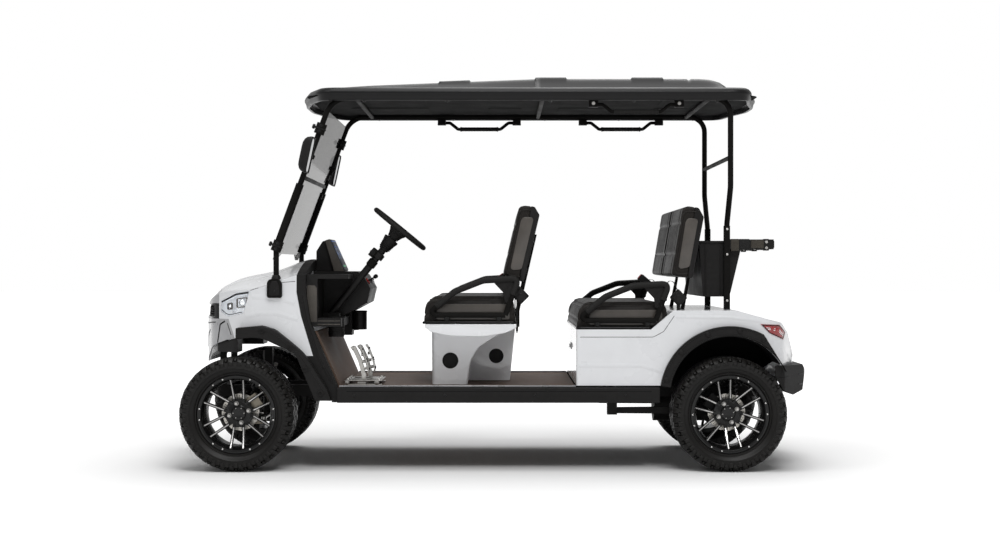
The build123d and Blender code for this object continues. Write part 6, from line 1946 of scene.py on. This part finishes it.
def make_handle_details():
    """Soft grips and end bolts of the grab handles."""
    grips, ends, bolts = solids(3)
    for x0, x1, hands in ((-0.328, 0.143, (1,)), (0.472, 0.950, SIDES)):
        for hand in hands:
            y = hand * POST_Y
            grips.tube([(x0 + 0.135, y, 1.8037), (x1 - 0.135, y, 1.8037)], 0.0115, 18)
            for k in range(12):
                x = x0 + 0.142 + k * (x1 - x0 - 0.284) / 11
                grips.lathe([(0.0112, -0.002), (0.0124, -0.0008), (0.0124, 0.0008), (0.0112, 0.002)],
                            (x, y, 1.8037), ALONG_X, 20, closed=True)
            for x in (x0 + 0.132, x1 - 0.132):
                ends.lathe([(0.009, -0.005), (0.0135, -0.003), (0.0135, 0.003), (0.009, 0.005)],
                           (x, y, 1.8037), ALONG_X, 24)
            for x in (x0 + 0.023, x1 - 0.023):
                ends.block(x - 0.024, x + 0.024, y - 0.0155, y + 0.0155, 1.826, 1.834, 0.003)
                bolts.bolt((x, y + hand * 0.0140, 1.845), (0, hand, 0), 0.0058, 0.006)
    grips.place("Handle_Grips", "Grip Rubber")
    ends.place("Handle_Ends", "Soft Plastic")
    bolts.place("Handle_Bolts", "Zinc Bolt", slot="black_steel")


# -------------------------------------------------------------------- rear body
REAR_LAMP = [(1.325, 0.737), (1.425, 0.732), (1.465, 0.692), (1.450, 0.657), (1.370, 0.692)]    # x, z
LAMP_MIDDLE = (1.407, 0.702)
REAR_BOXES = [(1.2057, 1.2465, 1.1040, 1.1655, 0.0025, "Coated Steel"),
              (1.3080, 1.3740, 1.1180, 1.1590, 0.0020, "Coated Steel"),
              (1.3740, 1.3990, 1.1060, 1.1655, 0.0035, "Soft Plastic")]     # x0, x1, z0, z1, proud, finish


def make_rear_details():
    """Pressed lines, latch and seams of the rear body."""
    skin = Skin("rear_body")
    ridge, seam, latch = solids(3)
    for hand in SIDES:
        side_strip(ridge, skin, [(0.412, 0.530), (0.740, 0.530), (0.832, 0.500)], hand, 0.026, 0.0026, 0.04,
                   edge=0.94)
        side_strip(ridge, skin, [(0.905, 0.772), (1.180, 0.770), (1.330, 0.752)], hand, 0.020, 0.0024, 0.05,
                   edge=0.94)
        side_strip(seam, skin, [(0.425, 0.672), (0.790, 0.672), (0.842, 0.700), (0.895, 0.778)], hand,
                   0.0028, 0.0004, 0.03)
    for y in (-0.42, 0.42):
        end_strip(seam, skin, [(y, 0.44), (y, 0.70)], 1, 0.0028, 0.0004)
    end_strip(seam, skin, [(-0.42, 0.650), (0.42, 0.650)], 1, 0.0028, 0.0004)
    end_strip(ridge, skin, [(-0.40, 0.575), (0.40, 0.575)], 1, 0.026, 0.0026, edge=0.94)
    spot = skin.end(0.0, 0.600, -1)[0]
    latch.block(spot.x - 0.004, spot.x + 0.002, -0.045, 0.045, 0.585, 0.620, 0.003)
    latch.rod((spot.x - 0.004, 0, 0.602), (spot.x - 0.010, 0, 0.602), 0.0095, 24, 0.0015)
    ridge.place("Rear_Creases", "White Paint", slot="white_body", smooth=60)
    seam.place("Rear_Seams", "Black Plastic")
    latch.place("Rear_Latch", "Silver Trim")


def make_tail_lamps():
    """Dark housings, bright bowls and ribs behind the red lenses."""
    skin = Skin("tail_lamps")
    ribs, bowls, rim = solids(3)
    for hand in SIDES:
        inside = [(LAMP_MIDDLE[0] + (x - LAMP_MIDDLE[0]) * 0.90, LAMP_MIDDLE[1] + (z - LAMP_MIDDLE[1]) * 0.86)
                  for x, z in REAR_LAMP + REAR_LAMP[:1]]
        side_strip(rim, skin, inside, hand, 0.0040, 0.0012, 0.004, step=0.01)
        for share in (0.30, 0.55):
            x0, z0 = 1.345 + share * 0.03, 0.728 - share * 0.010
            side_strip(ribs, skin, [(x0, z0 - share * 0.020), (1.420, 0.722 - share * 0.040),
                                    (1.446, 0.695 - share * 0.036)],
                       hand, 0.0036, 0.0012, 0.01, step=0.01)
        for x, z, r in ((1.412, 0.706, 0.0125), (1.385, 0.714, 0.0095)):
            spot, normal = skin.side(x, z, hand)
            bowls.lathe([(r, 0.0), (r * 1.08, 0.0014), (r * 0.86, 0.0020), (r * 0.5, 0.0016), (0, 0.0026)],
                        spot, normal, 28)
    rim.place("Tail_Lamp_Rims", "Gloss Black", slot="lamp_red")
    ribs.place("Tail_Lamp_Ribs", "Chrome Trim", slot="lamp_red")
    bowls.place("Tail_Lamp_Bowls", "Lens Red", slot="lamp_red")


def make_bumper_details():
    """Grooves, bolts and tread strips of the two bumpers and the sills."""
    groove, bolts, tread, edge = solids(4)
    rear, front = Skin("rear_bumper"), Skin("front_bumper")
    end_strip(groove, rear, [(-0.50, 0.480), (0.50, 0.480)], 1, 0.006, 0.0014, step=0.03)
    end_strip(groove, rear, [(-0.50, 0.430), (0.50, 0.430)], 1, 0.006, 0.0014, step=0.03)
    for y in (-0.34, 0.34):
        spot, normal = rear.end(y, 0.455, 1)
        bolts.bolt(spot, normal, 0.009, 0.009)
        spot, normal = front.end(y, 0.628, -1)
        bolts.bolt(spot, normal, 0.009, 0.009)
    for hand in SIDES:
        side_strip(groove, rear, [(1.395, 0.470), (1.470, 0.470)], hand, 0.006, 0.0014, step=0.01)
        for k in range(3):
            y = hand * (0.600 + k * 0.0085)
            tread.block(-0.760, 0.800, y - 0.0024, y + 0.0024, 0.4205, 0.4232, 0.0009, 1)
        edge.block(-0.780, 0.404, hand * 0.5880, hand * 0.5930, 0.4215, 0.4300, 0.0012, 1)
        for x in (-0.700, -0.250, 0.200, 0.650):
            bolts.button((x, hand * 0.6295, 0.383), (0, hand, 0), 0.0075, 0.004)
        side_strip(groove, Skin("sills"), [(-0.740, 0.402), (0.780, 0.402)], hand, 0.004, 0.0012, step=0.05)
    groove.place("Bumper_Lines", "Gloss Black")
    bolts.place("Bumper_Bolts", "Black Bolt", slot="black_steel")
    tread.place("Sill_Treads", "Grip Rubber", slot="floor_mat")
    edge.place("Floor_Edges", "Silver Trim", slot="floor_mat")


def make_rack_details():
    """Sleeves, straps, bolts and end caps of the bag rack, lip and ribs of the basket."""
    steel, soft, bolts, straps, basket = solids(5)
    for y in (-0.395, 0.0, 0.395):
        half = 0.015
        for x0, x1, z0, z1, proud, material in REAR_BOXES:
            if y == 0.0 and x1 < 1.30:
                continue
            shape = steel if material == "Coated Steel" else soft
            shape.block(x0, x1, y - half - proud, y + half + proud, z0, z1, 0.002)
        for z in (1.120, 1.150):
            for side in (-1, 1):
                bolts.bolt((1.3865, y + side * (half + 0.0035), z), (0, side, 0), 0.0048, 0.005)
    soft.block(1.4205, 1.4270, -0.412, 0.412, 1.1200, 1.1560, 0.003)
    for hand in SIDES:
        y = hand * 0.395
        straps.block(1.2500, 1.3000, y - 0.0172, y + 0.0172, 1.1108, 1.1652, 0.002)
        straps.block(1.2560, 1.2940, y - 0.0185, y + 0.0185, 1.1090, 1.1130, 0.002)
        for z in (1.216, 1.087, 0.850):
            bolts.button((1.186, hand * 0.4100, z), (0, hand, 0), 0.0065, 0.0035)
        for z in (0.905, 1.010, 1.120):
            bolts.button((1.186, hand * 0.3795, z), (0, -hand, 0), 0.0060, 0.0030)
        for x0, x1 in ((1.075, 1.084), (1.150, 1.159)):
            basket.block(x0, x1, hand * 0.3785, hand * 0.3815, 0.880, 1.140, 0.0012)
        basket.block(1.046, 1.262, hand * 0.3780, hand * 0.3840, 1.142, 1.1565, 0.003)
    for y in (-0.25, -0.125, 0.0, 0.125, 0.25):
        basket.prism([(1.2005, 0.875), (1.2045, 0.875), (1.2700, 1.145), (1.2660, 1.145)], "y", y - 0.004,
                     y + 0.004, 0.001, 1)
    for y in (-0.20, 0.20):
        straps.block(1.3915, 1.4265, y - 0.019, y + 0.019, 1.1105, 1.1655, 0.003)
        steel.block(1.4215, 1.4300, y - 0.024, y + 0.024, 1.128, 1.150, 0.002)
    steel.place("Rack_Sleeves", "Warm Steel", slot="rack_steel")
    soft.place("Rack_Caps", "Soft Plastic", slot="rack_steel")
    bolts.place("Rack_Bolts", "Zinc Bolt", slot="rack_steel")
    straps.place("Rack_Straps", "Webbing")
    basket.place("Basket_Ribs", "Soft Plastic")


# -------------------------------------------------------------- under the floor
DAMPERS = [  # foot and top of the right one, shares of the way where its coil starts and ends
    ((-1.235, 0.320, 0.204), (-1.235, 0.245, 0.555), 0.18, 0.80),
    ((1.218, 0.320, 0.318), (1.218, 0.320, 0.560), 0.17, 0.79)]
COIL_R, COIL_TURNS, COIL_STEPS = 0.0290, 7, 20


def make_springs():
    """Coil springs, seats and dust boots on the dampers."""
    coils, seats, boots = solids(3)
    for foot, top, low, high in DAMPERS:
        for hand in SIDES:
            a, b = Vector((foot[0], hand * foot[1], foot[2])), Vector((top[0], hand * top[1], top[2]))
            start, end = a.lerp(b, low), a.lerp(b, high)
            axis = (end - start).normalized()
            across = axis.cross(Vector(ALONG_X)).normalized()
            other = axis.cross(across)
            steps = COIL_TURNS * COIL_STEPS
            path = []
            for k in range(steps + 1):
                angle = 2 * pi * k / COIL_STEPS
                path.append(start.lerp(end, k / steps) + (across * cos(angle) + other * sin(angle)) * COIL_R)
            coils.tube(path, 0.0046, 8)
            for spot, way in ((start, -axis), (end, axis)):
                seats.lathe([(0.012, -0.002), (0.0365, -0.002), (0.0370, 0.002), (0.0350, 0.006),
                             (0.012, 0.009)], spot, way, 32)
            for k in range(5):
                boots.lathe([(0.0125, -0.005), (0.0185, 0.0), (0.0125, 0.005)],
                            end + axis * (0.012 + k * 0.009), axis, 24)
    coils.place("Spring_Coils", "Seat Shell", slot="black_steel", smooth=60)
    seats.place("Spring_Seats", "Zinc Bolt", slot="black_steel")
    boots.place("Damper_Boots", "Grip Rubber", slot="black_steel", smooth=60)


def make_battery_details():
    """Lid, hold-down straps and terminals of the battery pack."""
    lid, straps, posts = solids(3)
    lid.block(0.4470, 0.7630, -0.2630, 0.2630, 0.6050, 0.6420, 0.006)
    for x in (0.53, 0.605, 0.68):
        lid.block(x - 0.012, x + 0.012, -0.245, 0.245, 0.6410, 0.6460, 0.002)
    for y in (-0.14, 0.14):
        straps.block(0.4460, 0.7640, y - 0.014, y + 0.014, 0.6415, 0.6445, 0.001)
        for x in (0.4455, 0.7625):
            straps.block(x - 0.001, x + 0.001, y - 0.014, y + 0.014, 0.4350, 0.6440, 0.0005)
        posts.bolt((0.500, y * 1.5, 0.6420), UP, 0.0075, 0.010)
    lid.place("Battery_Lid", "Soft Plastic", slot="battery_case")
    straps.place("Battery_Straps", "Zinc Bolt", slot="battery_case")
    posts.place("Battery_Posts", "Zinc Bolt", slot="battery_case")


# --------------------------------------------------------------------- add-on
PIECES = {  # operator id: label, function
    "stage": ("Studio", make_stage),
    "finishes": ("Solids", make_finishes),
    "tyres": ("Tyres", make_tyres),
    "wheels": ("Wheels", make_wheels),
    "cowl": ("Cowl", make_cowl_details),
    "nose": ("Nose", make_nose_details),
    "headlamps": ("Headlamps", make_headlamps),
    "flares": ("Flares", make_flare_details),
    "pads": ("Seat pads", make_seat_pads),
    "seat_bases": ("Seat bases", make_seat_bases),
    "armrests": ("Armrests", make_armrests),
    "belts": ("Seat belts", make_belts),
    "steering": ("Steering wheel", make_steering_wheel),
    "column": ("Column", make_column),
    "display": ("Display", make_display),
    "dash": ("Dash", make_dash_details),
    "pedals": ("Pedals", make_pedals),
    "windshield": ("Windshield", make_windshield_details),
    "mirrors": ("Mirrors", make_mirrors),
    "roof": ("Roof", make_roof_details),
    "handles": ("Grab handles", make_handle_details),
    "rear": ("Rear body", make_rear_details),
    "tail_lamps": ("Tail lamps", make_tail_lamps),
    "bumpers": ("Bumpers", make_bumper_details),
    "rack": ("Bag rack", make_rack_details),
    "springs": ("Springs", make_springs),
    "battery": ("Battery", make_battery_details),
}


def execute_with(function):
    def execute(self, context):
        function()
        return {"FINISHED"}
    return execute


OPERATORS = [type(f"CART_OT_{key}", (bpy.types.Operator,), {
    "__doc__": function.__doc__, "bl_idname": f"cart.{key}", "bl_label": label,
    "bl_options": {"REGISTER", "UNDO"}, "execute": execute_with(function)})
    for key, (label, function) in PIECES.items()]


class CART_PT_panel(bpy.types.Panel):
    """Lists the cart's sizes, colours and pieces"""
    bl_idname = "CART_PT_panel"
    bl_label = "Golf Cart"
    bl_space_type = "VIEW_3D"
    bl_region_type = "UI"
    bl_category = "Golf Cart"

    def draw(self, context):
        for group in (context.scene.cart_sizes, context.scene.cart_colours):
            column = self.layout.column(align=True)
            for key in group.__annotations__:
                column.prop(group, key)
        column = self.layout.column(align=True)
        for key in PIECES:
            column.operator(f"cart.{key}")


CLASSES = [CART_PG_sizes, CART_PG_colours, *OPERATORS, CART_PT_panel]


def register():
    for cls in CLASSES:
        bpy.utils.register_class(cls)
    bpy.types.Scene.cart_sizes = PointerProperty(type=CART_PG_sizes)
    bpy.types.Scene.cart_colours = PointerProperty(type=CART_PG_colours)


def unregister():
    del bpy.types.Scene.cart_colours, bpy.types.Scene.cart_sizes
    for cls in reversed(CLASSES):
        bpy.utils.unregister_class(cls)


def main():
    register()
    for key in PIECES:
        getattr(bpy.ops.cart, key)()


if __name__ == "__main__":
    main()
